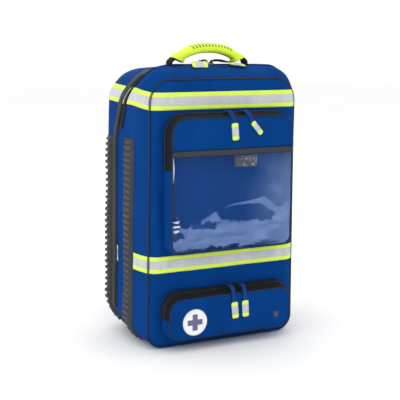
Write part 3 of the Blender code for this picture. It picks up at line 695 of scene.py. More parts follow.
def cloth_material(name, colour, pitch=0.0011, roughness=0.72, sheen=0.02, height=0.00010, mottling=0.14):
    s = Shader(name, roughness, Sheen_Weight=sheen, Sheen_Roughness=0.5, Specular_IOR_Level=0.04)
    s.main.inputs["Sheen Tint"].default_value = (*shade_of(colour, 2.5), 1)
    weave = s.weave(pitch)
    cloudy = s.noise(12.0, 4.0, vector=s.scaled(s.object_point(), (1.6, 1.0, 0.6)))
    worn = s.noise(160.0, 2.0)
    base = s.ramp(cloudy, (0.30, shade_of(colour, 1 - mottling)), (0.70, shade_of(colour, 1 + mottling)))
    fleck = s.mix(abs(weave) * 0.35, base, shade_of(colour, 0.62))
    finish = s.mix(worn * 0.18, fleck, shade_of(colour, 1.5))
    rough = roughness - 0.06 + worn * 0.14
    folds = s.bump(s.noise(38.0, 3.0), 0.0012, 0.35)
    return s.end(finish, rough, s.bump(weave, height, 1.0, below=folds))


def webbing_material(name, colour, pitch=0.0021, roughness=0.78):
    """Twill tape: diagonal ribs across the run of the tape."""
    s = Shader(name, roughness, Sheen_Weight=0.02, Specular_IOR_Level=0.12)
    x, y, z = s.split(s.object_point())
    diagonal = x + y + z * 0.8
    ribs = s.wave(diagonal, pitch)
    cross = s.wave(z - x * 0.6, pitch * 0.5)
    height = ribs + cross * 0.5
    tone = s.ramp(ribs * 0.5 + 0.5, (0.1, shade_of(colour, 0.7)), (0.9, shade_of(colour, 1.35)))
    dusty = s.mix(s.noise(60.0) * 0.16, tone, shade_of(colour, 2.2))
    return s.end(dusty, roughness, s.bump(height, 0.00016, 0.9))


def rubber_material(name, colour, roughness=0.62, grain=900.0, crest=False):
    s = Shader(name, roughness, Specular_IOR_Level=0.18)
    grit = s.noise(grain, 2.0)
    patches = s.noise(14.0, 4.0)
    base = s.ramp(patches, (0.3, shade_of(colour, 0.85)), (0.7, shade_of(colour, 1.18)))
    if crest:
        # Rib crests painted lighter: a painted highlight on the ribs, which leaves the gaps between them
        # looking shaded.
        rise = s.split(s.attribute("crest"))[0]
        base = s.mix(rise * 0.55, base, shade_of(colour, 2.0))
    rough = patches * 0.2 + roughness - 0.1
    return s.end(base, rough, s.bump(grit, 0.00012, 0.8))


SILVER = (0.500, 0.520, 0.545)
YELLOW = (0.760, 1.000, 0.120)


def band_material(name="reflective_band"):
    """Silver retroreflective stripe between two fluorescent edges, sewn down with two rows of thread."""
    s = Shader(name, 0.5, Specular_IOR_Level=0.35)
    across = s.split(s.attribute())[1]
    from_middle = abs(across - 0.5)
    is_yellow = from_middle > 0.235
    z = s.split(s.object_point())[2]
    beads = s.noise(2600.0, 1.0)
    patch = s.noise(30.0, 3.0, vector=s.scaled(s.object_point(), (1.0, 1.0, 0.15)))
    silver = s.ramp(patch, (0.35, shade_of(SILVER, 0.90)), (0.65, shade_of(SILVER, 1.08)))
    silver = s.mix(beads * 0.12, silver, (0.85, 0.86, 0.88))
    threads = s.wave(z, 0.0012)
    yellow = s.ramp(threads * 0.5 + 0.5, (0.0, shade_of(YELLOW, 0.86)), (1.0, YELLOW))
    colour = s.mix(is_yellow, silver, yellow)
    seam = abs(from_middle - 0.245) < 0.012
    colour = s.mix(seam * 0.35, colour, (0.30, 0.36, 0.20))
    rough = is_yellow * 0.18 + 0.42
    fine = threads * is_yellow + beads * 0.6
    step = s.bump(1.0 - is_yellow, 0.00035, 1.0)
    return s.end(colour, rough, s.bump(fine, 0.00010, 0.9, below=step))


def piping_material():
    """Dark piping, which the bands' ends cross. Where they cross it, it takes the bands' colours, darkened:
    the colours are real, the darkening is painted shade.
    """
    s = Shader("piping_fabric", 0.40, Specular_IOR_Level=0.28)
    x, y, z = s.split(s.object_point())
    base = s.ramp(s.noise(120.0), (0.3, (0.005, 0.006, 0.010)), (0.8, (0.014, 0.016, 0.024)))
    for low, high in (UPPER_BAND, LOWER_BAND):
        middle, half = (low + high) / 2, (high - low) / 2
        away = abs(z - middle) / half
        # Band colours over the piping, darkened as painted shade on the cord.
        band_colour_in_shade = s.mix(away > 0.47, (0.110, 0.112, 0.118), (0.130, 0.170, 0.012))
        base = s.mix((away < 1.0) * 0.85, base, band_colour_in_shade)
    underside = s.clamped((0.030 - z) * 60.0)
    base = s.mix(underside * 0.8, base, (0.001, 0.020, 0.100))
    ribs = s.wave(x + y + z, 0.0014)
    return s.end(base, None, s.bump(ribs, 0.00008, 0.7))


def mesh_material():
    """Spacer mesh: a lattice of round holes."""
    s = Shader("spacer_mesh", 0.85, Sheen_Weight=0.35, Specular_IOR_Level=0.25)
    cells = s.cells(330.0, 0.12)
    hole = cells < 0.30
    tone = s.mix(hole, (0.030, 0.032, 0.038), (0.006, 0.006, 0.008))
    tone = s.mix(s.noise(22.0) * 0.25, tone, (0.055, 0.057, 0.065))
    return s.end(tone, None, s.bump(cells, 0.0004, 0.9))


def window_material():
    """Clear film: glossy and crumpled, with reflections painted into its colour: pale ragged patches mostly
    along its foot, a sheen over its right side and glints near its left edge.
    """
    s = Shader("clear_film", 0.10, Specular_IOR_Level=0.15, Coat_Weight=0.10, Coat_Roughness=0.03, IOR=1.45)
    x, _, z = s.split(s.object_point())
    low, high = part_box("upper_pocket_window")
    v = (z - low.z) / (high.z - low.z)
    u = (x - low.x) / (high.x - low.x)
    torn = s.noise(34.0, 6.0, 0.70, distortion=0.9) - 0.5
    fine = s.noise(75.0, 4.0, 0.6) - 0.5
    broad = s.noise(9.0, 2.0) - 0.5
    streaks = s.noise(14.0, 5.0, 0.65, vector=s.scaled(s.object_point(), (0.5, 1.0, 2.6)), distortion=1.4)
    ragged = torn * 0.20 + broad * 0.06

    def curve(*stops):
        return s.ramp(u, *((at, (level, level, level)) for at, level in stops))

    def spot(at_u, at_v, half_u, half_v, rough):
        """A ragged patch: 1 inside, falling to 0 at its edge."""
        du = (u - at_u) / half_u
        dv = (v - at_v) / half_v
        away = s.math("SQRT", du * du + dv * dv) + fine * rough
        return s.clamped((1.0 - away) * 5.0)

    # Painted reflection: pale ragged patches along the foot of the film and a ridge above it, where the
    # crumpled film reflects light.
    foot_height = curve((0.0, 0.27), (0.14, 0.29), (0.36, 0.43), (0.41, 0.33), (0.82, 0.30), (0.90, 0.42),
                        (1.0, 0.50))
    foot = s.clamped((foot_height + ragged - v) * 45.0)
    ridge_middle = curve((0.42, 0.44), (0.50, 0.485), (0.62, 0.485), (0.75, 0.505), (0.88, 0.37))
    ridge_half = curve((0.41, 0.0), (0.47, 0.014), (0.62, 0.020), (0.75, 0.058), (0.88, 0.048), (0.95, 0.0))
    off = abs(v - ridge_middle - ragged * 0.5)
    ridge = s.clamped((ridge_half - off) * 60.0)
    # Gaps in the painted reflection.
    holes = s.larger(spot(0.050, 0.190, 0.060, 0.045, 3.0), spot(0.27, 0.285, 0.10, 0.040, 4.0))
    # Painted sheen: a pale reflection over the right side of the film.
    right = s.clamped((u - 0.62 + broad * 0.6) * 2.0) * s.clamped((1.20 - v) * 2.2)
    hem = s.clamped((v - 0.035 + torn * 0.22) * 60.0)
    reflection_patches = s.larger(foot, ridge) * hem * (1.0 - holes * 0.85)
    patch_reflection = reflection_patches * (streaks * 0.34 + 0.04)
    painted_reflection = s.larger(patch_reflection, right * (streaks * 0.22 + 0.17))
    # Painted glints: a highlight along the left edge and streaks near the lower left corner.
    edge = spot(0.008, 0.865, 0.010, 0.150, 0.6)
    corner = spot(0.024, 0.300, 0.042, 0.075, 3.0) * (s.wave(z + torn * 0.010, 0.011) > 0.2)
    painted_glints = s.larger(edge * 0.85, corner * 0.75)
    # The painted reflections raise the film's alpha and pale its colour.
    alpha = s.clamped(0.040 + s.larger(painted_reflection, painted_glints))
    colour = s.mix(s.clamped(painted_reflection * 4.0), (0.11, 0.21, 0.50), (0.330, 0.490, 0.900))
    colour = s.mix(painted_glints, colour, (0.90, 0.94, 0.98))
    return s.end(colour, None, s.bump(torn + streaks, 0.0030, 0.5), alpha)


def badge_material():
    """White disc with a plain cross in slate blue."""
    s = Shader("badge_print", 0.42, Coat_Weight=0.25, Coat_Roughness=0.2)
    x, _, z = s.split(s.object_point())
    low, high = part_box("emblem_badge")
    radius = (high.x - low.x) / 2
    u = abs((x - (low.x + high.x) / 2) / radius)
    v = abs((z - (low.z + high.z) / 2) / radius)
    bar_up = (u < 0.21) * (v < 0.62)
    bar_wide = (v < 0.21) * (u < 0.62)
    cross = s.larger(bar_up, bar_wide)
    away = s.math("SQRT", u * u + v * v)
    rim = away > 0.93
    paper = s.ramp(s.noise(70.0), (0.3, (0.80, 0.81, 0.83)), (0.7, (0.88, 0.89, 0.91)))
    colour = s.mix(cross, paper, (0.105, 0.110, 0.235))
    colour = s.mix(rim * 0.6, colour, (0.50, 0.52, 0.58))
    return s.end(colour, None, s.bump(s.noise(900.0) + cross, 0.00010, 0.8))


def plastic_material(name, colour, roughness=0.42, grain=1400.0):
    s = Shader(name, roughness, Specular_IOR_Level=0.5)
    patches = s.noise(40.0, 3.0)
    base = s.ramp(patches, (0.3, shade_of(colour, 0.85)), (0.7, shade_of(colour, 1.25)))
    rough = patches * 0.18 + roughness - 0.09
    return s.end(base, rough, s.bump(s.noise(grain, 1.0), 0.00004, 0.7))


def grip_material():
    """Fluorescent soft grip, with dark slots moulded across its top."""
    s = Shader("fluorescent_grip", 0.42, Specular_IOR_Level=0.45, Subsurface_Weight=0.08)
    s.main.inputs["Subsurface Radius"].default_value = (0.004, 0.004, 0.001)
    slot_mask = s.split(s.attribute("groove"))[0]
    patches = s.noise(24.0, 3.0)
    body = s.ramp(patches, (0.3, (0.64, 0.87, 0.018)), (0.7, (0.74, 0.98, 0.040)))
    colour = s.mix(slot_mask * 0.92, body, (0.060, 0.075, 0.006))
    rough = patches * 0.16 + 0.34
    return s.end(colour, rough, s.bump(s.noise(700.0, 2.0), 0.00008, 0.7))


def hook_material():
    s = Shader("hook_patch", 0.9, Sheen_Weight=0.4)
    cells = s.cells(700.0)
    tone = s.ramp(cells, (0.1, (0.075, 0.080, 0.076)), (0.6, (0.020, 0.022, 0.021)))
    # Pale specks painted in: painted glints on the hooks.
    painted_sparkles = s.clamped((s.noise(150.0, 5.0, 0.75) - 0.555) * 14.0)
    tone = s.mix(painted_sparkles * 0.8, tone, (0.420, 0.430, 0.420))
    return s.end(tone, None, s.bump(cells, 0.0006, 1.0))


LOOKS = {}


def make_looks():
    royal = (0.0006, 0.0440, 0.2120)
    LOOKS.update(
        royal=cloth_material("royal_fabric_weave", royal),
        lining=cloth_material("lining_weave", (0.030, 0.034, 0.042), 0.0009, 0.8),
        divider=cloth_material("divider_brushed", (0.010, 0.070, 0.260), 0.0016, 0.85, 0.2),
        pull_web=webbing_material("pull_webbing", (0.004, 0.040, 0.190), 0.0016),
        tape=webbing_material("zip_tape_twill", (0.0075, 0.0080, 0.0100)),
        webbing=webbing_material("harness_webbing", (0.012, 0.013, 0.016), 0.0026),
        binding=webbing_material("grey_binding", (0.046, 0.045, 0.048), 0.0018, 0.7),
        cover=rubber_material("zip_cover_skin", (0.040, 0.042, 0.049), 0.66, 700.0),
        # rail_rubber paints its rib crests lighter: a painted highlight.
        rail=rubber_material("rail_rubber", (0.040, 0.044, 0.050), 0.64, 800.0, crest=True),
        band=band_material(),
        piping=piping_material(),
        mesh=mesh_material(),
        film=window_material(),
        badge=badge_material(),
        label=plastic_material("label_woven", (0.010, 0.030, 0.110), 0.6),
        label_centre=plastic_material("label_print", (0.120, 0.050, 0.045), 0.6),
        tab_band=band_material("tab_reflective"),
        plastic=plastic_material("black_acetal", (0.014, 0.014, 0.016)),
        teeth=plastic_material("zip_coil", (0.022, 0.022, 0.025), 0.36),
        board=plastic_material("frame_board", (0.140, 0.145, 0.150), 0.5, 500.0),
        grip=grip_material(),
        hook=hook_material(),
        thread_dark=plastic_material("thread_dark", (0.020, 0.024, 0.040), 0.7),
        thread_blue=plastic_material("thread_blue", (0.010, 0.090, 0.380), 0.7),
        thread_pale=plastic_material("thread_pale", (0.520, 0.560, 0.420), 0.7),
        cord=webbing_material("cord_braid", (0.012, 0.012, 0.014), 0.0012),
    )


def dress(obj, look):
    obj.data.materials.clear()
    obj.data.materials.append(LOOKS[look])
    return obj


def fit(obj, body, slot_name, *nodes, look=None):
    """Finishes a piece: its look, the body it rides on, its record slot name, which is not used, and the CAD
    nodes it stands for.
    """
    if look:
        dress(obj, look)
    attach(obj, body)
    if nodes:
        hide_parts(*nodes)
    return obj


def span(obj, first, second, start, end, slot_name, *nodes, look):
    """Finishes a piece of fabric that crosses the joint between two bodies."""
    dress(obj, look)
    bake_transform(obj)
    if nodes:
        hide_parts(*nodes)


make_looks()
MIDDLE = (0.0, 0.0, 0.33)
POCKET_WALL = 0.0022
TAPE_THICKNESS = 0.0007
PIPING_RADIUS = 0.0021


# ---------------------------------------------------------------- the bag's two halves

def panel_ring(inset, count=400):
    """A ring of the crowned front panel, a distance in from its piped edge."""
    right = half_outline(BAG, 0.0, -inset, count // 2 + 1)
    left = right[::-1][1:-1] * (-1, 1)
    x, z = np.concatenate([right, left]).T
    forward = crown(inset) + panel_waves(x, z, inset)
    return xyz(x, FRONT_Y - forward, z)


def back_ring(inset, count=400):
    """A ring of the flat back panel, a distance in from its edge."""
    right = half_outline(BAG, BACK_DEPTH, -inset, count // 2 + 1)
    left = right[::-1][1:-1] * (-1, 1)
    x, z = np.concatenate([right, left]).T
    return xyz(x, FRONT_Y + BACK_DEPTH, z)


def closed_slit(last):
    """The innermost ring of a panel, closed up to a line."""
    return last * (0, 1, 1)


def fabric_shell(name, rings, thickness=0.0035):
    obj = surface(name, np.stack(rings, axis=1), wrap=True, away_from=(0, FRONT_Y + 0.14, 0.33))
    merge(obj)
    dress(obj, "royal")
    obj.data.materials.append(LOOKS["lining"])
    thicken(obj, thickness)
    obj.modifiers["thickness"].material_offset = 1
    return obj


def make_main_fabric():
    insets = [0.003, 0.006, 0.010, 0.015, 0.020, 0.026, 0.034] + list(np.arange(0.046, 0.188, 0.012))
    panel = [panel_ring(inset) for inset in insets]
    panel.append(closed_slit(panel_ring(0.188)))
    depths = [0.0, 0.003, 0.008, 0.014] + list(np.linspace(0.021, MAIN_END, 24))
    shell = fabric_shell("main_fabric", panel[::-1] + [ring(BAG, depth) for depth in depths])
    fit(shell, "main_body", "royal_fabric", "main_shell")


def make_rear_fabric():
    depths = list(np.linspace(REAR_START, 0.228, 14)) + [0.232, 0.2355, 0.2375, BACK_DEPTH]
    insets = [0.004, 0.010, 0.020] + list(np.arange(0.036, 0.180, 0.016))
    panel = [back_ring(inset) for inset in insets]
    panel.append(closed_slit(back_ring(0.182)))
    shell = fabric_shell("rear_fabric", [ring(BAG, depth) for depth in depths] + panel)
    fit(shell, "rear_body", "royal_fabric", "rear_shell")


def make_piping():
    edge = ring(BAG, 0.0, 0.0006, 420)
    cord = tube("front_piping_cord", edge, PIPING_RADIUS, 12, closed=True)
    fit(cord, "main_body", "dark_rubber", "front_piping", look="piping")
    for name, points, body in (
        ("rear_edge_piping", ring(BAG, 0.2325, 0.0008, 420), "rear_body"),
        ("main_edge_binding", ring(BAG, MAIN_END - 0.0010, 0.0006, 420), "main_body"),
    ):
        fit(tube(name, points, PIPING_RADIUS, 10, closed=True), body, "dark_rubber", look="cover")
    seams = (("front_piping_seam", 0.0075, "main_body"), ("rear_piping_seam", 0.2260, "rear_body"))
    for name, depth, body in seams:
        line = ring(BAG, depth, 0.0002, 420)
        out = line - (0, FRONT_Y + depth, 0.33)
        fit(stitches(name, line, out * (1, 0, 1), "thread_dark"), body, "royal_fabric")


# ---------------------------------------------------------------- skid rails

RAIL_PITCH = 0.0150
RAIL_CREST_BELOW = 0.0078    # under the bag, where the ribs touch the ground
RAIL_FLANGE = 0.0020


def rail_track(depth, top, count):
    """Section points from the top of the left side, under the bag, to the top of the right side."""
    right = cut_run(half_outline(BAG, depth), high_z=top)
    points = np.concatenate([right[::-1] * (-1, 1), right[1:]])
    points = resample(points, count)
    normals = outward(points)
    return points, normals


def make_rail(name, depth_from, depth_to, top, body, node, wear, valley, crest_up):
    flange, shoulder = 0.17, 0.05
    half = np.array([0, 0.02, 0.06, flange - 0.02, flange, flange + 0.02, flange + shoulder, 0.32, 0.42])
    shares = np.concatenate([half, [0.5], 1 - half[::-1]])
    length = lengths_of(rail_track(depth_from, top, 600)[0])[-1]
    ribs = 2 * round(length / RAIL_PITCH / 2) + 1
    count = ribs * 14 + 1
    phase = np.linspace(0, ribs, count) % 1.0
    rib = smooth(0.16, 0.34, phase) * smooth(0.84, 0.66, phase)
    along = np.linspace(0, length, count)
    near_end = smooth(0.0, 0.012, along) * smooth(0.0, 0.012, length - along)
    worn = 1 - wear * (1 - smooth(0.05, 0.22, along) * smooth(0.05, 0.22, length - along))
    grid, crest = [], []
    for share in shares:
        depth = depth_from + (depth_to - depth_from) * share
        points, normals = rail_track(depth, top, count)
        rise = smooth(flange, flange + shoulder, share) * smooth(1 - flange, 1 - flange - shoulder, share)
        top_of_rib = RAIL_CREST_BELOW + (crest_up - RAIL_CREST_BELOW) * smooth(0.012, 0.040, points[:, 1])
        bulge = valley + (top_of_rib - valley) * (1 - worn * (1 - rib))
        edge = RAIL_FLANGE * smooth(0, 0.03, share) * smooth(1, 0.97, share)
        height = edge + (bulge * (0.35 + 0.65 * near_end) - RAIL_FLANGE) * rise
        grid.append(place(points + normals * (height[:, None] + 0.0003), depth))
        crest.append(rib * rise * near_end * worn)
    obj = surface(name, np.stack(grid, axis=1), away_from=(0, FRONT_Y + 0.14, 0.45))
    # The crest attribute marks the rib tops, which rail_rubber paints lighter as a painted highlight.
    attribute(obj.data, "crest", np.stack([np.stack(crest, 1).ravel()] * 3, axis=1))
    thicken(obj, 0.0012)
    fit(obj, body, "dark_rubber", node, look="rail")
    for word, share in (("front", 0.10), ("rear", 0.90)):
        depth = depth_from + (depth_to - depth_from) * share
        points, normals = rail_track(depth, top, 700)
        line = place(points + normals * (RAIL_FLANGE + 0.0005), depth)
        seam = stitches(f"{name}_stitch_{word}", line, upright(normals), "thread_dark", 0.0062, 0.00055)
        fit(seam, body, "dark_rubber")


def make_rails():
    make_rail("front_rail_ribbed", 0.058, 0.112, 0.490, "main_body", "front_skid_rail", 0.0, 0.0022, 0.0062)
    make_rail("rear_rail_ribbed", 0.1735, 0.212, 0.487, "rear_body", "rear_skid_rail", 0.05, 0.0034, 0.0096)


# ---------------------------------------------------------------- reflective bands

def panel_inset(x, z):
    """How far places on the front are in from the panel's piped edge."""
    edge = half_outline(BAG, 0.0, 0.0, 700)
    spots = np.stack([np.abs(x), z], axis=1)
    return np.min(np.linalg.norm(spots[:, None] - edge[None], axis=2), axis=1)


def make_front_band(name, low, high):
    rows = []
    for z in np.linspace(low, high, 11):
        half = edge_x(BAG, 0.0, z, -0.0010)
        x = np.linspace(half, -half, 90)
        z = np.full_like(x, z)
        spots = xyz(x, 0.0, z)
        inset = panel_inset(x, z)
        forward = crown(inset) + panel_waves(x, z, inset)
        creases = 0.0003 * folds(spots * (1.0, 1.0, 0.3), 0.035)
        rows.append(xyz(x, FRONT_Y - forward - 0.0012 - creases, z))
    obj = surface(name + "_tape", np.stack(rows, axis=1), away_from=MIDDLE)
    thicken(obj, TAPE_THICKNESS)
    fit(obj, "main_body", "reflective", name, look="band")


BAND_CLIMB = 0.048         # how steeply the upper band climbs towards the back
BAND_BOW = 0.0036          # how far it bows up behind the front piping


def make_side_band(name, side, low, high, depths, body, node=True, lift=0.0012):
    climb, bow = (BAND_CLIMB, BAND_BOW) if name.startswith("upper") else (0.0, 0.0)
    columns = []
    for level in np.linspace(low, high, 11):
        row = []
        for depth in depths:
            z = level + climb * depth + bow * math.sin(math.pi * min(1.0, depth / 0.150))
            section = half_outline(BAG, depth, lift)
            x = float(np.interp(z, section[:, 1], section[:, 0]))
            off = float(slack(np.array([[x * side, z]]), depth)[0])
            row.append((side * (x + off), FRONT_Y + depth + float(lean(depth, x, z)), z))
        columns.append(row)
    obj = surface(name + "_tape", np.array(columns).transpose(1, 0, 2), away_from=(0, FRONT_Y + 0.1, 0.3))
    thicken(obj, TAPE_THICKNESS)
    fit(obj, body, "reflective", *([name] if node else []), look="band")


def make_bands():
    make_front_band("upper_band_front", *UPPER_BAND)
    make_front_band("lower_band_front", *LOWER_BAND)
    for word, side in (("left", -1), ("right", 1)):
        make_side_band(f"upper_band_{word}", side, *UPPER_BAND, np.linspace(0.0035, 0.1238, 40), "main_body")
        make_side_band(f"lower_band_{word}", side, *LOWER_BAND, np.linspace(0.0035, 0.0576, 20), "main_body")
        make_side_band(f"upper_band_rear_{word}", side, *UPPER_BAND, np.linspace(0.1704, 0.2285, 20),
                       "rear_body")
    make_side_band("lower_band_end", -1, *LOWER_BAND, np.linspace(0.1452, 0.1524, 4), "main_body", False)
    make_side_band("upper_band_end", -1, *UPPER_BAND, np.linspace(0.1446, 0.1498, 4), "main_body",
                   node=False, lift=0.0034)


# ---------------------------------------------------------------- zips

def coil(name, points, normals, across, pitch=0.0032, half=0.0022, look="teeth"):
    """A zip's coil: one rounded bar for each turn, across the line."""
    lengths = lengths_of(points)
    count = int(lengths[-1] / pitch)
    at = (np.arange(count) + 0.5) * lengths[-1] / count
    centre, up, side = (looked_up(table, lengths, at) for table in (points, normals, across))
    along = np.cross(side, up)
    verts, faces = [], []
    for c, n, s, t in zip(centre, up, side, along):
        base = len(verts)
        for reach, size in ((-1.0, 0.5), (-0.6, 1.0), (0.6, 1.0), (1.0, 0.5)):
            for corner in range(6):
                angle = corner * math.pi / 3
                out = pitch * 0.40 * size
                offset = t * out * math.cos(angle) + n * out * math.sin(angle)
                verts.append(tuple(c + s * half * reach + offset))
        for row in range(3):
            for corner in range(6):
                a, b = base + row * 6 + corner, base + row * 6 + (corner + 1) % 6
                faces.append((a, b, b + 6, a + 6))
        faces.append(tuple(base + k for k in reversed(range(6))))
        faces.append(tuple(base + 18 + k for k in range(6)))
    return dress(add(name, mesh_of(name, verts, faces)), look)


def zip_lines(table, depth, lift, low_z, count=500):
    """A zip's middle line over a section, with its normals and the direction across it."""
    points = both_sides(table, depth, lift, count, low_z)
    across = np.broadcast_to((0.0, 1.0, 0.0), points.shape)
    return points, upright(outward(points[:, (0, 2)])), across


def make_zip(name, table, depths, low_z, body, node, height=0.0018, look="tape"):
    """Two tapes with a coil between them, over the arch of a section."""
    middle = (depths[0] + depths[1]) / 2
    half = (depths[1] - depths[0]) / 2
    half_shape = ((0.22, height * 0.75), (0.55, height), (0.96, height * 0.8), (1.0, 0.0004))
    shape = [(-share, lift) for share, lift in half_shape[::-1]] + [(0.0, height * 0.5), *half_shape]
    rows = [both_sides(table, middle + half * share, lift, 420, low_z) for share, lift in shape]
    tape = surface(name + "_tape", np.stack(rows, axis=1), away_from=(0, rows[0][0][1], low_z))
    thicken(tape, 0.0004)
    fit(tape, body, "black_tape", node, look=look)
    line, up, across = zip_lines(table, middle, height * 0.9, low_z)
    fit(coil(name + "_coil", line, up, across), body, "black_tape")
    for word, share in (("front", -0.72), ("rear", 0.72)):
        line, up, _ = zip_lines(table, middle + half * share, height + 0.0002, low_z)
        fit(stitches(f"{name}_stitch_{word}", line, up, "thread_dark", 0.0048), body, "black_tape")


def make_main_zip():
    make_zip("main_zip", BAG, (0.1240, 0.1540), 0.510, "main_body", "main_zip_tape")


COVER_SHAPE = ((0.1502, 0.0040), (0.1506, 0.0048), (0.1530, 0.0054), (0.1570, 0.0058), (0.1620, 0.0056),
               (0.1660, 0.0046), (0.1690, 0.0030), (0.1700, 0.0016), (0.1703, 0.0004))
COVER_END = 0.162          # how far from the middle the covers end, over the top


def make_zip_covers():
    """The padded strips that shield the main zip."""
    share = np.linspace(0, 1, 300)[:, None]
    for word, side, low_z in (("left", -1, 0.062), ("right", 1, 0.482)):
        ends = {"low_z": low_z, "top_x": COVER_END}
        tuck = smooth(0.0, 0.02, share) * smooth(1.0, 0.94, share)
        rows = []
        for depth, lift in COVER_SHAPE:
            flat, proud = (run(BAG, depth, height, side, 300, **ends) for height in (0.0012, lift))
            rows.append(flat + (proud - flat) * tuck)
        cover = surface(f"zip_cover_{word}", np.stack(rows, axis=1), away_from=(0, FRONT_Y + 0.16, 0.30))
        thicken(cover, 0.0006)
        fit(cover, "rear_body", "dark_rubber", f"main_zip_cover_{word}", look="cover")
        for place_word, depth, lift in (("front", 0.1528, 0.0056), ("rear", 0.1680, 0.0038)):
            line = run(BAG, depth, lift, side, 300, **ends)[8:-20]
            out = upright(outward(line[:, (0, 2)]))
            fit(stitches(f"zip_cover_{word}_stitch_{place_word}", line, out, "thread_dark", 0.005),
                "rear_body", "dark_rubber")


def make_rain_flap():
    """The blue flap that hides the zip along the top."""
    shape = ((0.1214, 0.0003), (0.1220, 0.0018), (0.1300, 0.0028), (0.1420, 0.0032), (0.1500, 0.0030),
             (0.1535, 0.0024), (0.1540, 0.0006))
    rows = []
    for depth, lift in shape:
        section = half_outline(BAG, depth, lift)
        near = section[(section[:, 0] < COVER_END) & (section[:, 1] > 0.5)]
        points = resample(np.concatenate([near, near[::-1][1:] * (-1, 1)]), 160)
        rows.append(place(points, depth))
    flap = surface("rain_flap", np.stack(rows, axis=1), away_from=(0, FRONT_Y + 0.1, 0.3))
    thicken(flap, 0.0008)
    fit(flap, "main_body", "royal_fabric", look="royal")


def make_hinge_strip():
    """The fabric strip that the rear half swings on."""
    shape = ((0.1400, 0.0004), (0.1410, 0.0018), (0.1480, 0.0020), (0.1550, 0.0030), (0.1620, 0.0020),
             (0.1690, 0.0018), (0.1700, 0.0004))
    rows = [run(BAG, depth, lift, 1, 90, low_z=0.110, high_z=0.480) for depth, lift in shape]
    strip = surface("hinge_fabric", np.stack(rows, axis=1), away_from=(0, FRONT_Y + 0.155, 0.3))
    thicken(strip, 0.0008)
    span(strip, "main_body", "rear_body", (0.209, FRONT_Y + 0.149, 0.3), (0.209, FRONT_Y + 0.161, 0.3),
         "dark_rubber", "hinge_strip", look="cover")


# ---------------------------------------------------------------- pockets

def front_face(table, depth, low_z, puff, count=220, rows=16):
    """Rows of a face from the arch of a section down to a straight line at low_z, standing proud by puff."""
    arch = both_sides(table, depth, -0.0012, count, low_z)
    faces = []
    for share in np.linspace(0, 1, rows):
        z = arch[:, 2] * (1 - share) + low_z * share
        reach = np.minimum(share, 1 - share) * (arch[:, 2] - low_z)
        side = smooth(0, 0.012, reach)
        spots = xyz(arch[:, 0], 0.0, z)
        forward = puff * side + 0.0004 * folds(spots, 0.07) * side
        faces.append(xyz(arch[:, 0], arch[:, 1] - 0.0005 * smooth(0, 0.02, share) - forward, z))
    return faces


def make_upper_pocket():
    upper = (ring(UPPER_POCKET, POCKET_BACK, 0.0, 360)[:, 2] > HINGE_Z)[:, None]
    rows = []
    for share in np.linspace(0, 1, 9):
        depth_low = UPPER_FRONT + (POCKET_BACK - UPPER_FRONT) * share
        depth_high = -0.0288 + (POCKET_BACK + 0.0288) * share
        low, high = ring(UPPER_POCKET, depth_low, 0.0, 360), ring(UPPER_POCKET, depth_high, 0.0, 360)
        rows.append(np.where(upper, high, low))
    hem = ring(UPPER_POCKET, UPPER_FRONT, -0.0042, 360)
    edge = ring(UPPER_POCKET, UPPER_FRONT, -0.0012, 360)
    first = np.where(upper, rows[0], hem + (0, -0.0008, 0))
    second = np.where(upper, rows[0], edge + (0, -0.0006, 0))
    wall = surface("upper_pocket_wall", np.stack([first, second] + rows, axis=1), wrap=True,
                   away_from=(0, FRONT_Y - 0.03, 0.39))
    merge(wall)
    dress(wall, "royal")
    thicken(wall, POCKET_WALL)
    fit(wall, "main_body", "royal_fabric", "upper_pocket_body")
    make_upper_flap()
    make_window()
    make_pocket_back()
    depths = (-0.0300, -0.0475)
    make_gusset_tape("upper_flap_gusset", UPPER_POCKET, depths, HINGE_Z + 0.0008, None, "upper_flap")
    make_gusset_tape("upper_wall_gusset", UPPER_POCKET, depths, 0.427, HINGE_Z - 0.0008, "main_body")
    frame_line = open_foot(UPPER_POCKET, UPPER_FRONT - 0.0004, -0.0010, HINGE_Z - 0.0006, 420)
    fit(tube("upper_pocket_piping", frame_line, 0.0016), "main_body", "dark_rubber", look="piping")
    make_zip("upper_zip", UPPER_POCKET, (-0.0285, -0.0165), 0.427, "main_body", "upper_pocket_zip")


def open_foot(table, depth, lift, top, count):
    """The section's lower part, from top on the left, under the pocket, to top on the right."""
    right = cut_run(half_outline(table, depth, lift), high_z=top)
    points = np.concatenate([right[::-1] * (-1, 1), right[1:]])
    return place(resample(points, count), depth)


def make_gusset_tape(name, table, depths, low_z, high_z, body):
    """Dark tape on a pocket's wall, in front of its zip."""
    first, last = depths
    shape = ((0.0, 0.0003), (0.03, 0.0011), (0.25, 0.0013), (0.5, 0.0008), (0.75, 0.0013), (0.97, 0.0011),
             (1.0, 0.0003))
    parts = []
    sides = (None,) if high_z is None else (-1, 1)
    for side in sides:
        rows = []
        for share, lift in shape:
            depth = first + (last - first) * share
            if side is None:
                rows.append(both_sides(table, depth, lift, 300, low_z))
            else:
                rows.append(run(table, depth, lift, side, 30, low_z=low_z, high_z=high_z))
        strip = surface(f"{name}_part", np.stack(rows, axis=1), away_from=(0, rows[0][0][1], low_z - 0.02))
        parts.append(thicken(dress(strip, "tape"), 0.0006))
    fit(join(name, parts), body, "black_tape")


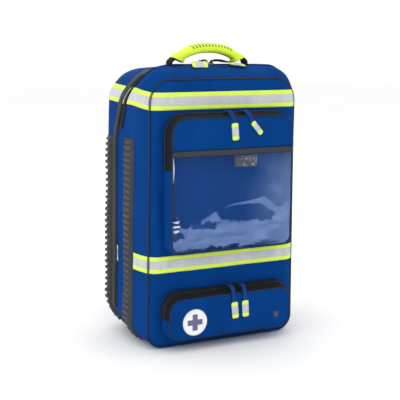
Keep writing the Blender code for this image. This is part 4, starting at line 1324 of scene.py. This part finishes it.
def make_upper_flap():
    low = HINGE_Z + 0.0006
    depths = (-0.0298, -0.034, -0.040, -0.0455, -0.0485)
    walls = [both_sides(UPPER_POCKET, depth, 0.0, 220, low) for depth in depths]
    face = front_face(UPPER_POCKET, UPPER_FRONT, low, 0.0004)
    flap = surface("upper_flap_fabric", np.stack(walls + face, axis=1), away_from=(0, FRONT_Y - 0.02, 0.48))
    thicken(flap, POCKET_WALL)
    fit(flap, "upper_flap", "royal_fabric", "upper_pocket_flap", look="royal")
    rim = both_sides(UPPER_POCKET, UPPER_FRONT, -0.0008, 260, low)
    fit(tube("upper_flap_piping", rim, 0.0017), "upper_flap", "dark_rubber", look="piping")
    seam = both_sides(UPPER_POCKET, -0.0445, 0.0003, 300, low)
    out = upright(outward(seam[:, (0, 2)]))
    fit(stitches("upper_flap_seam", seam, out, "thread_dark", 0.0045), "upper_flap", "royal_fabric")


def window_ripples(x, z):
    spots = xyz(x, 0.0, z)
    low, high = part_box("upper_pocket_window")
    calm = smooth(0, 0.02, x - low.x) * smooth(0, 0.02, high.x - x) * smooth(0, 0.02, z - low.z)
    return calm * (0.0007 * folds(spots * (1.0, 1.0, 1.6), 0.12) + 0.0002 * folds(spots, 0.035))


def make_window():
    """The clear film, its binding with two rows of stitches along it, and its hook patch."""
    low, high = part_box("upper_pocket_window")
    outline = half_outline(UPPER_POCKET, UPPER_FRONT, -0.0030)
    rows = []
    for z in np.linspace(low.z + 0.0030, high.z - 0.0003, 90):
        half = float(np.interp(z, outline[:, 1], outline[:, 0]))
        x = np.linspace(half, -half, 120)
        z = np.full_like(x, z)
        rows.append(xyz(x, low.y + 0.0004 - window_ripples(x, z), z))
    film = surface("clear_window", np.stack(rows, axis=1), away_from=MIDDLE)
    thicken(film, 0.0004)
    fit(film, "main_body", "clear_vinyl", "upper_pocket_window", look="film")
    low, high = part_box("window_binding")
    band = block("window_edge_binding", low, high, 0.0006, 2)
    fit(band, "main_body", "dark_rubber", "window_binding", look="binding")
    middle = (low.z + high.z) / 2
    for word, z in (("upper", middle + 0.0042), ("lower", middle - 0.0042)):
        line = xyz(np.linspace(low.x + 0.003, high.x - 0.003, 80), low.y, z)
        fit(stitches(f"window_binding_stitch_{word}", line, (0, -1, 0), "thread_dark", 0.005),
            "main_body", "dark_rubber")
    low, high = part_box("window_closure")
    fit(block("hook_closure", low, high, 0.0005, 2), "main_body", "grey_patch", "window_closure", look="hook")


def make_pocket_back():
    """The pocket's back sheet, seen through the window."""
    window_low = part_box("upper_pocket_window")[0]
    section = half_outline(UPPER_POCKET, POCKET_BACK, -0.0030)
    rows = []
    for z in np.linspace(window_low.z - 0.0010, 0.5450, 60):
        half = float(np.interp(z, section[:, 1], section[:, 0]))
        x = np.linspace(half, -half, 90)
        rows.append(xyz(x, FRONT_Y - 0.0150 - 0.0012 * folds(xyz(x, 0.0, z), 0.10), z))
    sheet = surface("upper_pocket_back", np.stack(rows, axis=1), away_from=MIDDLE)
    thicken(sheet, 0.0006)
    fit(sheet, "main_body", "royal_fabric", look="royal")


def make_lower_pocket():
    depths = np.linspace(-0.0388, POCKET_BACK, 7)
    rows = [ring(LOWER_POCKET, depth, 0.0, 360) for depth in depths]
    wall = surface("lower_pocket_wall", np.stack(rows, axis=1), wrap=True,
                   away_from=(0, FRONT_Y - 0.02, 0.08))
    thicken(wall, POCKET_WALL)
    fit(wall, "main_body", "royal_fabric", "lower_pocket_body", look="royal")
    make_lower_cover()
    make_zip("lower_zip", LOWER_POCKET, (-0.0388, -0.0180), 0.079, "main_body", "lower_pocket_zip")


def make_lower_cover():
    walls = [ring(LOWER_POCKET, depth, offset, 360) for depth, offset in
             ((-0.0396, 0.0), (-0.0425, 0.0), (-0.0460, 0.0), (-0.0482, -0.0006), (-0.0492, -0.0020))]
    face = []
    for inset in (0.006, 0.012, 0.020, 0.030, 0.040):
        points = ring(LOWER_POCKET, LOWER_FRONT, -inset, 360)
        forward = 0.0003 * folds(points * (1, 0, 1), 0.09) * smooth(0.004, 0.02, inset)
        face.append(points - xyz(0.0, forward, 0.0))
    last = ring(LOWER_POCKET, LOWER_FRONT, -0.0475, 360)
    face.append(xyz(last[:, 0], last[:, 1], last[:, 2].mean()))
    cover = surface("lower_cover_fabric", np.stack(walls + face, axis=1), wrap=True,
                    away_from=(0, FRONT_Y - 0.02, 0.08))
    merge(cover)
    dress(cover, "royal")
    thicken(cover, POCKET_WALL)
    fit(cover, "lower_cover", "royal_fabric", "lower_pocket_cover")
    rim = ring(LOWER_POCKET, LOWER_FRONT + 0.0008, -0.0006, 360)
    fit(tube("lower_cover_piping", rim, 0.0014, closed=True), "lower_cover", "dark_rubber", look="piping")
    make_gusset_tape("lower_cover_gusset", LOWER_POCKET, (-0.0397, -0.0472), 0.079, None, "lower_cover")
    make_badge()


def make_badge():
    low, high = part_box("emblem_badge")
    centre = (low + high) / 2
    radius = (high.x - low.x) / 2
    rings = []
    angles = np.linspace(0, 2 * math.pi, 96, endpoint=False)
    for share, forward in ((1.0, 0.0), (1.0, 0.0007), (0.975, 0.0010), (0.94, 0.0010), (0.93, 0.0008),
                           (0.6, 0.0009), (0.3, 0.0010), (0.0, 0.0010)):
        across, up = radius * share * np.cos(angles), radius * share * np.sin(angles)
        rings.append(xyz(centre.x + across, high.y - forward, centre.z + up))
    disc = surface("round_badge", np.stack(rings, axis=1), wrap=True,
                   away_from=(centre.x, high.y + 0.05, centre.z))
    merge(disc)
    dress(disc, "badge")
    fit(disc, "lower_cover", "badge_white", "emblem_badge")
    low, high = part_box("label_patch")
    label = block("sewn_label", low, high, 0.0004, 2)
    fit(label, "lower_cover", "grey_patch", "label_patch", look="label")
    inner_low = Vector((low.x + 0.0045, low.y - 0.0004, low.z + 0.0045))
    inner_high = Vector((high.x - 0.0045, low.y + 0.0002, high.z - 0.0045))
    middle = block("sewn_label_centre", inner_low, inner_high, 0.0002, 2)
    fit(middle, "lower_cover", "grey_patch", look="label_centre")


# ---------------------------------------------------------------- sliders and pulls

def make_slider(name, body):
    """A zip slider: a waisted body with a bridge over it for its pull."""
    low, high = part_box(name)
    centre = (low + high) / 2
    length, width, height = high.y - low.y, high.x - low.x, high.z - low.z
    build = bmesh.new()
    stations = ((-0.5, 0.62), (-0.30, 0.86), (0.0, 0.80), (0.28, 1.0), (0.5, 0.94))
    rings = []
    for share, size in stations:
        y = centre.y + length * share
        half = width / 2 * size
        ring_verts = [build.verts.new((centre.x + x * half, y, z)) for x, z in (
            (-1, low.z), (1, low.z), (1, low.z + height * 0.45), (0.7, low.z + height * 0.62),
            (-0.7, low.z + height * 0.62), (-1, low.z + height * 0.45))]
        rings.append(ring_verts)
    for first, second in zip(rings, rings[1:]):
        for k in range(6):
            build.faces.new((first[k], first[(k + 1) % 6], second[(k + 1) % 6], second[k]))
    build.faces.new(rings[0][::-1])
    build.faces.new(rings[-1])
    bmesh.ops.recalc_face_normals(build, faces=build.faces)
    mesh = bpy.data.meshes.new(name)
    build.to_mesh(mesh)
    build.free()
    mesh.shade_smooth()
    base = add(f"{name}_body", mesh)
    round_off(base, 0.0005)
    bridge_path = curve_through([
        (centre.x, low.y + length * 0.14, low.z + height * 0.55),
        (centre.x, low.y + length * 0.24, high.z - 0.0009),
        (centre.x, centre.y + length * 0.1, high.z - 0.0006),
        (centre.x, high.y - length * 0.12, low.z + height * 0.55)], 14)
    bridge = strap(f"{name}_bridge", bridge_path, width * 0.30, 0.0011)
    dress(base, "plastic")
    dress(bridge, "plastic")
    piece = join(f"{name}_moulded", [base, bridge])
    fit(piece, body, "black_plastic", name)


def tab(name, centre, along, normal, length, width, thickness=0.0020):
    """A stitched reflective tab: yellow ends and a silver middle, rounded at its corners."""
    along, normal = (np.asarray(v, float) / np.linalg.norm(v) for v in (along, normal))
    normal = normal - along * (normal @ along)
    normal /= np.linalg.norm(normal)
    side = np.cross(along, normal)
    rows = []
    for u in np.linspace(-1, 1, 15):
        cut = max(0.0, abs(u) * length / 2 - (length / 2 - 0.003))
        half = width / 2 - 0.003 + math.sqrt(max(0.0, 0.003 ** 2 - cut ** 2))
        puff = 0.0003 * math.cos(u * math.pi * 2.5)
        rows.append([np.asarray(centre) + along * u * length / 2 + side * half * v + normal * puff
                     for v in np.linspace(-1, 1, 9)])
    obj = surface(name, np.array(rows).transpose(1, 0, 2), away_from=tuple(np.asarray(centre) - normal))
    thicken(obj, thickness, 0.0004)
    dress(obj, "tab_band")
    return obj


def tab_stitches(name, centre, along, normal, length, width):
    along, normal = (np.asarray(v, float) / np.linalg.norm(v) for v in (along, normal))
    side = np.cross(along, normal)
    reach, spread = along * (length / 2 - 0.002), side * (width / 2 - 0.002)
    corners = [np.asarray(centre) + reach * a + spread * b + normal * 0.0002
               for a, b in ((-1, -1), (1, -1), (1, 1), (-1, 1), (-1, -1))]
    return stitches(name, np.array(corners), normal, "thread_pale", 0.0032, 0.00030)


def make_pocket_pull(group, word, lean_x, drop_y, tab_top, tilt, width=0.0170, length=0.0400):
    """Webbing looped through the slider, over the edge and down to a stitched tab."""
    name = f"{group}_pull_{word}"
    low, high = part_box(f"{group}_slider_{word}")
    x, z, y = (low.x + high.x) / 2, high.z, (low.y + high.y) / 2
    swing = Vector((math.sin(tilt), 0, -math.cos(tilt)))
    top = Vector((x + lean_x, drop_y, tab_top))
    path = curve_through([
        (x, y + 0.0028, z + 0.0010), (x, y - 0.004, z + 0.0013),
        (x + lean_x * 0.2, drop_y + 0.0045, z + 0.0004),
        (x + lean_x * 0.4, drop_y + 0.0008, z - 0.0050), (x + lean_x * 0.75, drop_y, (z + tab_top) / 2),
        (top.x, drop_y, top.z), (top.x + swing.x * 0.006, drop_y, top.z + swing.z * 0.006)], 34)
    web = strap(f"{name}_loop", path, 0.0105, 0.0018)
    dress(web, "pull_web")
    place_and_size = (tuple(top + swing * length / 2 + Vector((0, -0.0016, 0))), tuple(swing), (0, -1, 0),
                      length, width)
    front = tab(f"{name}_tab_part", *place_and_size)
    thread = tab_stitches(f"{name}_thread", *place_and_size)
    piece = join(f"{name}_webbing", [web, front, thread])
    fit(piece, f"{name}_body", "reflective", name)


def make_main_pull(word, centre, along, normal):
    """A doubled cord that rises out of the slider to a stitched tab lying over the crest."""
    name = f"main_pull_{word}"
    low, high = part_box(f"main_slider_{word}")
    x, y, z = (low.x + high.x) / 2, (low.y + high.y) / 2, high.z
    centre, along = np.asarray(centre), np.asarray(along) / np.linalg.norm(along)
    inner = -1 if word == "right" else 1
    knot = centre + along * inner * 0.012 + (0, 0.006, 0.0030)
    parts = []
    for offset, rise in ((-0.0030, 0.0020), (0.0030, 0.0032), (0.0005, 0.0014)):
        route = [(x, y + 0.002, z - 0.0008), (x + offset, y - 0.006, z + rise),
                 (x * 0.8 + knot[0] * 0.2 + offset * 2.2, y - 0.018, z + rise + 0.0012),
                 (x * 0.3 + knot[0] * 0.7 + offset, knot[1] + 0.003, max(knot[2], z)), tuple(knot)]
        cord = tube(f"{name}_cord_part", curve_through(route, 30), 0.0018, 8, side=(1, 0, 0))
        parts.append(dress(cord, "cord"))
    parts.append(tab(f"{name}_tab_part", centre, along, normal, 0.041, 0.0175))
    parts.append(tab_stitches(f"{name}_thread", centre, along, normal, 0.041, 0.0175))
    fit(join(f"{name}_corded", parts), f"main_pull_{word}_body", "reflective", name)


def make_sliders_and_pulls():
    for group in ("main", "upper", "lower"):
        for word in ("left", "right"):
            make_slider(f"{group}_slider_{word}", f"{group}_slider_{word}_body")
    left_tab = (-0.0420, FRONT_Y + 0.0445, 0.6610)
    right_tab = (0.0610, FRONT_Y + 0.0500, 0.6605)
    make_main_pull("left", left_tab, (1.0, 0.0, -0.02), (0.0, -0.78, 0.62))
    make_main_pull("right", right_tab, (1.0, -0.12, -0.13), (0.0, -0.20, 0.98))
    upper_y = FRONT_Y + UPPER_FRONT - 0.0022
    lower_y = FRONT_Y + LOWER_FRONT - 0.0028
    make_pocket_pull("upper", "left", 0.013, upper_y, 0.531, 0.09)
    make_pocket_pull("upper", "right", 0.018, upper_y, 0.532, 0.72, 0.0125, 0.0380)
    make_pocket_pull("lower", "left", 0.008, lower_y, 0.107, 0.10)
    make_pocket_pull("lower", "right", 0.005, lower_y, 0.108, 0.06)


# ---------------------------------------------------------------- carry handle

GRIP_HALF = 0.0830
GRIP_SHIFT = -0.0035
GRIP_WIDTH = 0.0340
GRIP_THICKNESS = 0.0228
GRIP_DEPTH = 0.0800


def grip_path(count):
    """The middle line of the grip: flat over the hand and steeper towards its ends."""
    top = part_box("handle_grip")[1].z
    x = np.linspace(-GRIP_HALF, GRIP_HALF, count)
    z = top - GRIP_THICKNESS / 2 - 0.0270 * np.abs(x / GRIP_HALF) ** 2.5
    return xyz(x + GRIP_SHIFT, FRONT_Y + GRIP_DEPTH, z)


def make_grip():
    """A broad moulded band with slots across its top and ends cut slanting."""
    path = grip_path(241)
    count, around = len(path), 48
    profile = pad_profile(GRIP_WIDTH / 2, GRIP_THICKNESS / 2, 2.8, around)
    sides, ups = frames_along(path, (0, 1, 0))
    ups = ups * np.sign(ups[:, 2:3])
    share = np.linspace(-1, 1, count)
    swell = 0.82 + 0.18 * smooth(1.0, 0.55, np.abs(share))
    across, rise = profile[None, :, 0], profile[None, :, 1]
    grid = path[:, None] + sides[:, None] * (across * swell[:, None])[..., None] \
        + ups[:, None] * (rise * swell[:, None])[..., None]
    slant = smooth(0.80, 1.0, np.abs(share))[:, None] * (rise / GRIP_THICKNESS * 0.020)
    grid[..., 0] += np.sign(share)[:, None] * slant
    pitch = 0.0080
    beat = (path[:, 0:1] + across * 0.35 - 0.0005) / pitch
    gap = np.abs(beat % 1.0 - 0.5)
    zone = smooth(0.0530, 0.0520, np.abs(path[:, 0:1] - 0.0005)) * smooth(0.0030, 0.0046, rise)
    slots = smooth(0.25, 0.17, gap) * zone
    depth = slots * 0.0022
    lengths = np.linalg.norm(profile, axis=1)[None]
    sunk_across, sunk_up = (part / lengths * depth for part in (across, rise))
    grid -= sides[:, None] * sunk_across[..., None] + ups[:, None] * sunk_up[..., None]
    mesh = mesh_of("grip_moulded", grid.reshape(-1, 3).tolist(), tube_faces(count, around))
    attribute(mesh, "groove", np.repeat(slots.reshape(-1, 1), 3, axis=1))
    face_out(mesh)
    fit(add("grip_moulded", mesh), "handle", "yellow_grip", "handle_grip", look="grip")


def make_handle_loops():
    """Doubled black webbing that leaves the top seam, bows outwards and enters the grip's end."""
    for word, side in (("left", -1), ("right", 1)):
        node = f"handle_loop_{word}"
        y = FRONT_Y + GRIP_DEPTH
        foot = GRIP_SHIFT * 2 if side > 0 else 0.0
        route = [(side * 0.0980 + foot, y, 0.6500), (side * 0.1035 + foot, y, 0.6570),
                 (side * 0.1040 + foot, y, 0.6650), (side * 0.0975 + foot, y, 0.6712),
                 (side * 0.0870 + GRIP_SHIFT, y, 0.6740), (side * 0.0720 + GRIP_SHIFT, y, 0.6805)]
        web = strap(f"{node}_webbing", curve_through(route, 40), 0.0244, 0.0072, side=(0, 1, 0))
        span(web, "main_body", "handle", (0, y, 0.6600), (0, y, 0.6740), "black_tape", node, look="webbing")


# ---------------------------------------------------------------- inside, back and harness

def make_dividers():
    """Padded shelves that follow the bag's sides."""
    for number in (1, 2):
        name = f"divider_{number}"
        low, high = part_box(name)
        middle = (low.z + high.z) / 2
        rows = []
        for y in np.linspace(low.y + 0.006, high.y, 16):
            half = edge_x(BAG, y - FRONT_Y, middle, -0.0085)
            rows.append([(x, y, high.z) for x in np.linspace(-half, half, 40)])
        panel = surface(f"{name}_padded", np.array(rows).transpose(1, 0, 2), away_from=(0, low.y, low.z - 1))
        thicken(panel, high.z - low.z, 0.0026)
        fit(panel, "main_body", "divider_foam", name, look="divider")
        reach = edge_x(BAG, high.y - FRONT_Y, middle, -0.0125)
        edge = np.array([(-reach, high.y, middle), (reach, high.y, middle)])
        rim = strap(f"{name}_binding", resample(edge, 40), 0.0105, 0.0022, side=(0, 0, 1))
        fit(rim, "main_body", "divider_foam", look="binding")


def make_stiffener():
    low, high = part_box("back_stiffener")
    board = block("back_board", low, high, 0.0008, 2)
    fit(board, "rear_body", "frame_sheet", "back_stiffener", look="board")
    ribs = []
    for x in np.linspace(low.x + 0.035, high.x - 0.035, 5):
        bar = block("back_board_rib", (x - 0.005, low.y - 0.0014, low.z + 0.03),
                    (x + 0.005, low.y + 0.0004, high.z - 0.03), 0.0006)
        ribs.append(dress(bar, "board"))
    fit(join("back_board_ribs", ribs), "rear_body", "frame_sheet")


def soft_copy(name, obj, voxel=0.0050):
    mesher = obj.modifiers.new("remesh", "REMESH")
    mesher.mode = "VOXEL"
    mesher.voxel_size = voxel
    mesher.use_smooth_shade = True
    apply_modifiers(obj)
    obj.name = name
    obj.data.name = name
    return obj


def inflate(objects, cap, pressure=4.0, frames=20):
    """Blows pads up as cloth bags, keeps each point within cap of its start and rounds the result."""
    starts = {obj.name: positions(obj) for obj in objects}
    for obj in objects:
        cloth = obj.modifiers.new("cloth", "CLOTH")
        cloth.settings.quality = 5
        cloth.settings.mass = 0.3
        cloth.settings.use_pressure = True
        cloth.settings.uniform_pressure_force = pressure
        cloth.settings.effector_weights.gravity = 0.0
    for number in range(1, frames + 1):
        bpy.context.scene.frame_set(number)
    graph = bpy.context.evaluated_depsgraph_get()
    blown = {}
    for obj in objects:
        mesh = obj.evaluated_get(graph).to_mesh()
        flat = np.zeros(len(mesh.vertices) * 3)
        mesh.vertices.foreach_get("co", flat)
        blown[obj.name] = flat.reshape(-1, 3)
    for obj in objects:
        obj.modifiers.clear()
        start = starts[obj.name]
        move = blown[obj.name] - start
        length = np.maximum(np.linalg.norm(move, axis=1), 1e-9)
        set_positions(obj, start + move * (np.minimum(length, cap) / length)[:, None])
    bpy.context.scene.frame_set(1)
    for obj in objects:
        rounder = obj.modifiers.new("round", "SUBSURF")
        rounder.levels = rounder.render_levels = 1
        obj.data.shade_smooth()


def groove(obj, along, places, depth, width=0.0035):
    """Sewn channels: pulls points near given places along an axis in towards the pad's middle plane."""
    points = positions(obj)
    normals = normals_of(obj)
    total = np.zeros(len(points))
    for at in places:
        total = np.maximum(total, np.exp(-((points[:, along] - at) / width) ** 2))
    set_positions(obj, points - normals * (total * depth)[:, None])


STRAP_X = 0.069
STRAP_RUN = (      # depth, height, how far outwards, half width
    (0.2500, 0.5790, 0.000, 0.027),
    (0.2570, 0.5570, 0.000, 0.028),
    (0.2600, 0.5200, 0.002, 0.030),
    (0.2610, 0.4700, 0.008, 0.032),
    (0.2615, 0.4100, 0.017, 0.032),
    (0.2615, 0.3500, 0.027, 0.029),
    (0.2610, 0.2900, 0.036, 0.024),
    (0.2590, 0.2400, 0.042, 0.018),
)


def make_pads():
    pads = []
    for name in ("back_pad_left", "back_pad_right", "lumbar_pad"):
        low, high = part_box(name)
        inset = 0.0030
        shape = block(name + "_core", low + Vector((inset, 0.0012, inset)),
                      high - Vector((inset, 0.0030, inset)), 0.0050, 4)
        pads.append(soft_copy(name + "_soft", shape, 0.0040))
    straps = []
    for word, side in (("left", -1), ("right", 1)):
        path = curve_through([(side * (STRAP_X + out), FRONT_Y + depth, z)
                              for depth, z, out, _ in STRAP_RUN], 60)
        halves = curve_through([(half, z, 0.0) for _, z, _, half in STRAP_RUN], 60)[:, 0]
        scale = np.stack([halves / 0.03, np.ones(60)], axis=1)
        core = sweep(f"strap_core_{word}", path, pad_profile(0.03, 0.0046, 3.4, 36), (1, 0, 0), scale)
        straps.append(soft_copy(f"shoulder_pad_{word}", core, 0.0040))
    inflate(pads + straps, 0.0022, 3.0)
    for pad, node in zip(pads, ("back_pad_left", "back_pad_right", "lumbar_pad")):
        low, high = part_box(node)
        if node != "lumbar_pad":
            groove(pad, 2, np.linspace(low.z, high.z, 6)[1:-1], 0.0026)
        else:
            groove(pad, 0, np.linspace(low.x, high.x, 5)[1:-1], 0.0026)
        fit(pad, "rear_body", "mesh_pad", node, look="mesh")
        rim_y = (low.y + high.y) / 2 - 0.0035
        corner = 0.010
        outline_points = rounded_rectangle(low.x, high.x, low.z, high.z, corner)
        rim = xyz(outline_points[:, 0], rim_y, outline_points[:, 1])
        fit(tube(f"{node}_piping", rim, 0.0016, closed=True), "rear_body", "mesh_pad", look="binding")
    for pad, word in zip(straps, ("left", "right")):
        fit(pad, f"strap_{word}", "mesh_pad", f"shoulder_strap_{word}", look="mesh")


def rounded_rectangle(x_low, x_high, z_low, z_high, radius, steps=8):
    points = []
    for cx, cz, start in ((x_high - radius, z_low + radius, 270), (x_high - radius, z_high - radius, 0),
                          (x_low + radius, z_high - radius, 90), (x_low + radius, z_low + radius, 180)):
        for angle in np.radians(np.linspace(start, start + 90, steps)):
            points.append((cx + radius * math.cos(angle), cz + radius * math.sin(angle)))
    points = np.array(points + points[:1])
    return resample(points, 240)[:-1]


def make_harness():
    """The webbing, buckles and anchors of the shoulder straps."""
    for word, side in (("left", -1), ("right", 1)):
        body = f"strap_{word}"
        x = side * STRAP_X
        anchor = curve_through([(x, FRONT_Y + 0.2392, 0.6080), (x, FRONT_Y + 0.2400, 0.5900),
                                (x, FRONT_Y + 0.2450, 0.5780), (x, FRONT_Y + 0.2540, 0.5660)], 24)
        fit(strap(f"strap_anchor_{word}", anchor, 0.050, 0.0026), "rear_body", "black_tape", look="webbing")
        stretch = [row[:3] for row in STRAP_RUN[1:-1]] + [(0.2590, 0.2350, 0.043), (0.2600, 0.2150, 0.044)]
        line = curve_through([(side * (STRAP_X + out), FRONT_Y + depth + 0.0068, z)
                              for depth, z, out in stretch], 90)
        fit(strap(f"strap_facing_{word}", line, 0.020, 0.0018), body, "black_tape", look="webbing")
        route = [(side * 0.113, FRONT_Y + depth, z) for depth, z in (
            (0.2585, 0.2000), (0.2575, 0.1925), (0.2560, 0.1400), (0.2500, 0.0950), (0.2410, 0.0700))]
        web = strap(f"strap_tail_{word}", curve_through(route, 60), 0.025, 0.0016)
        span(web, body, "rear_body", (0, FRONT_Y + 0.25, 0.200), (0, FRONT_Y + 0.25, 0.075),
             "black_tape", f"strap_webbing_{word}", look="webbing")
        make_ladder_lock(f"ladder_lock_{word}", body)


def make_ladder_lock(name, body):
    """A ladder lock: a frame with three bars."""
    low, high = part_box(name)
    middle_y = (low.y + high.y) / 2
    parts = []
    rim = rounded_rectangle(low.x + 0.0022, high.x - 0.0022, low.z + 0.0022, high.z - 0.0022, 0.004)
    frame_points = xyz(rim[:, 0], middle_y, rim[:, 1])
    parts.append(dress(tube(f"{name}_rim", frame_points, 0.0022, 12, closed=True), "plastic"))
    for share in (0.30, 0.52, 0.74):
        z = low.z + (high.z - low.z) * share
        bar = np.array([(low.x + 0.002, middle_y, z), (high.x - 0.002, middle_y, z)])
        bar_strap = strap(f"{name}_bar", resample(bar, 12), 0.0042, 0.0026, side=(0, 0, 1))
        parts.append(dress(bar_strap, "plastic"))
    fit(join(f"{name}_moulded", parts), body, "black_plastic", name)


def make_sternum():
    y = FRONT_Y + 0.2755
    for word, side in (("left", -1), ("right", 1)):
        node = f"sternum_webbing_{word}"
        low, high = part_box(node)
        path = xyz(np.linspace(low.x, high.x, 40), y, (low.z + high.z) / 2)
        web = strap(f"{node}_tape", path, high.z - low.z, 0.0016, side=(0, 0, 1))
        if side > 0:
            span(web, "buckle_male_body", "strap_right", (low.x + 0.002, y, 0.43), (high.x - 0.008, y, 0.43),
                 "black_tape", node, look="webbing")
        else:
            fit(web, "strap_left", "black_tape", node, look="webbing")
    for node, body in (("buckle_female", "strap_left"), ("buckle_male", "buckle_male_body")):
        low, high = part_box(node)
        shell = block(f"{node}_shell", low, high, 0.0022, 4)
        slot_low = Vector((low.x + (high.x - low.x) * 0.30, high.y - 0.0006, low.z + 0.006))
        slot_high = Vector((low.x + (high.x - low.x) * 0.70, high.y + 0.0006, high.z - 0.006))
        ridge = block(f"{node}_ridge", slot_low, slot_high, 0.0005)
        dress(shell, "plastic")
        dress(ridge, "plastic")
        fit(join(f"{node}_moulded", [shell, ridge]), body, "black_plastic", node)


# ---------------------------------------------------------------- room, light and camera

def make_stage():
    build = bmesh.new()
    bmesh.ops.create_grid(build, x_segments=1, y_segments=1, size=9.0)
    mesh = bpy.data.meshes.new("floor")
    build.to_mesh(mesh)
    build.free()
    floor = add("floor", mesh)
    s = Shader("floor_paint", 0.85, Specular_IOR_Level=0.2)
    tone = s.ramp(s.noise(3.0, 2.0), (0.3, (0.970, 0.970, 0.970)), (0.7, (0.982, 0.982, 0.982)))
    floor.data.materials.append(s.end(tone))


def area_light(name, place_at, target, size, power, colour=(1, 1, 1)):
    lamp = bpy.data.lights.new(name, "AREA")
    lamp.shape = "RECTANGLE"
    lamp.size, lamp.size_y = size
    lamp.energy = power
    lamp.color = colour
    obj = bpy.data.objects.new(name, lamp)
    obj.location = place_at
    obj.rotation_euler = (Vector(target) - Vector(place_at)).to_track_quat("-Z", "Y").to_euler()
    bpy.context.scene.collection.objects.link(obj)


def make_lights():
    target = (0, 0, 0.35)
    area_light("key", (-1.6, -2.2, 2.3), target, (1.6, 1.6), 12)
    area_light("fill", (2.4, -1.8, 1.4), target, (2.2, 2.2), 4)
    area_light("left_wash", (-2.6, -0.2, 1.0), target, (1.4, 2.0), 9)
    area_light("top", (0.0, 0.3, 2.8), target, (2.0, 1.8), 8)
    area_light("back", (0.6, 2.8, 1.8), target, (2.4, 2.0), 8)
    world = bpy.data.worlds.new("studio")
    world.use_nodes = True
    world.node_tree.nodes["Background"].inputs["Color"].default_value = (1, 1, 1, 1)
    world.node_tree.nodes["Background"].inputs["Strength"].default_value = 1.0
    bpy.context.scene.world = world
    bpy.context.scene.view_settings.view_transform = "Standard"


def make_camera():
    azimuth, elevation, roll = (math.radians(v) for v in (-27.597909, 9.978136, 0.6197155))
    eye = Vector((-1.12676777, -2.03836719 + FRONT_Y, 0.752934))
    back = Vector((math.sin(azimuth) * math.cos(elevation), -math.cos(azimuth) * math.cos(elevation),
                   math.sin(elevation)))
    right = (-back).cross(Vector((0, 0, 1))).normalized()
    up = right.cross(-back)
    across = right * math.cos(roll) + up * math.sin(roll)
    upright = up * math.cos(roll) - right * math.sin(roll)
    lens = bpy.data.cameras.new("camera")
    lens.lens = 90
    lens.sensor_width = 36
    lens.clip_end = 50
    camera = bpy.data.objects.new("camera", lens)
    camera.matrix_world = Matrix((
        (across.x, upright.x, back.x, eye.x),
        (across.y, upright.y, back.y, eye.y),
        (across.z, upright.z, back.z, eye.z),
        (0, 0, 0, 1),
    ))
    bpy.context.scene.collection.objects.link(camera)
    bpy.context.scene.camera = camera


make_stage()
make_lights()
make_camera()
make_main_fabric()
make_rear_fabric()
make_piping()
make_rails()
make_bands()
make_main_zip()
make_zip_covers()
make_rain_flap()
make_hinge_strip()
make_upper_pocket()
make_lower_pocket()
make_sliders_and_pulls()
make_grip()
make_handle_loops()
make_dividers()
make_stiffener()
make_pads()
make_harness()
make_sternum()
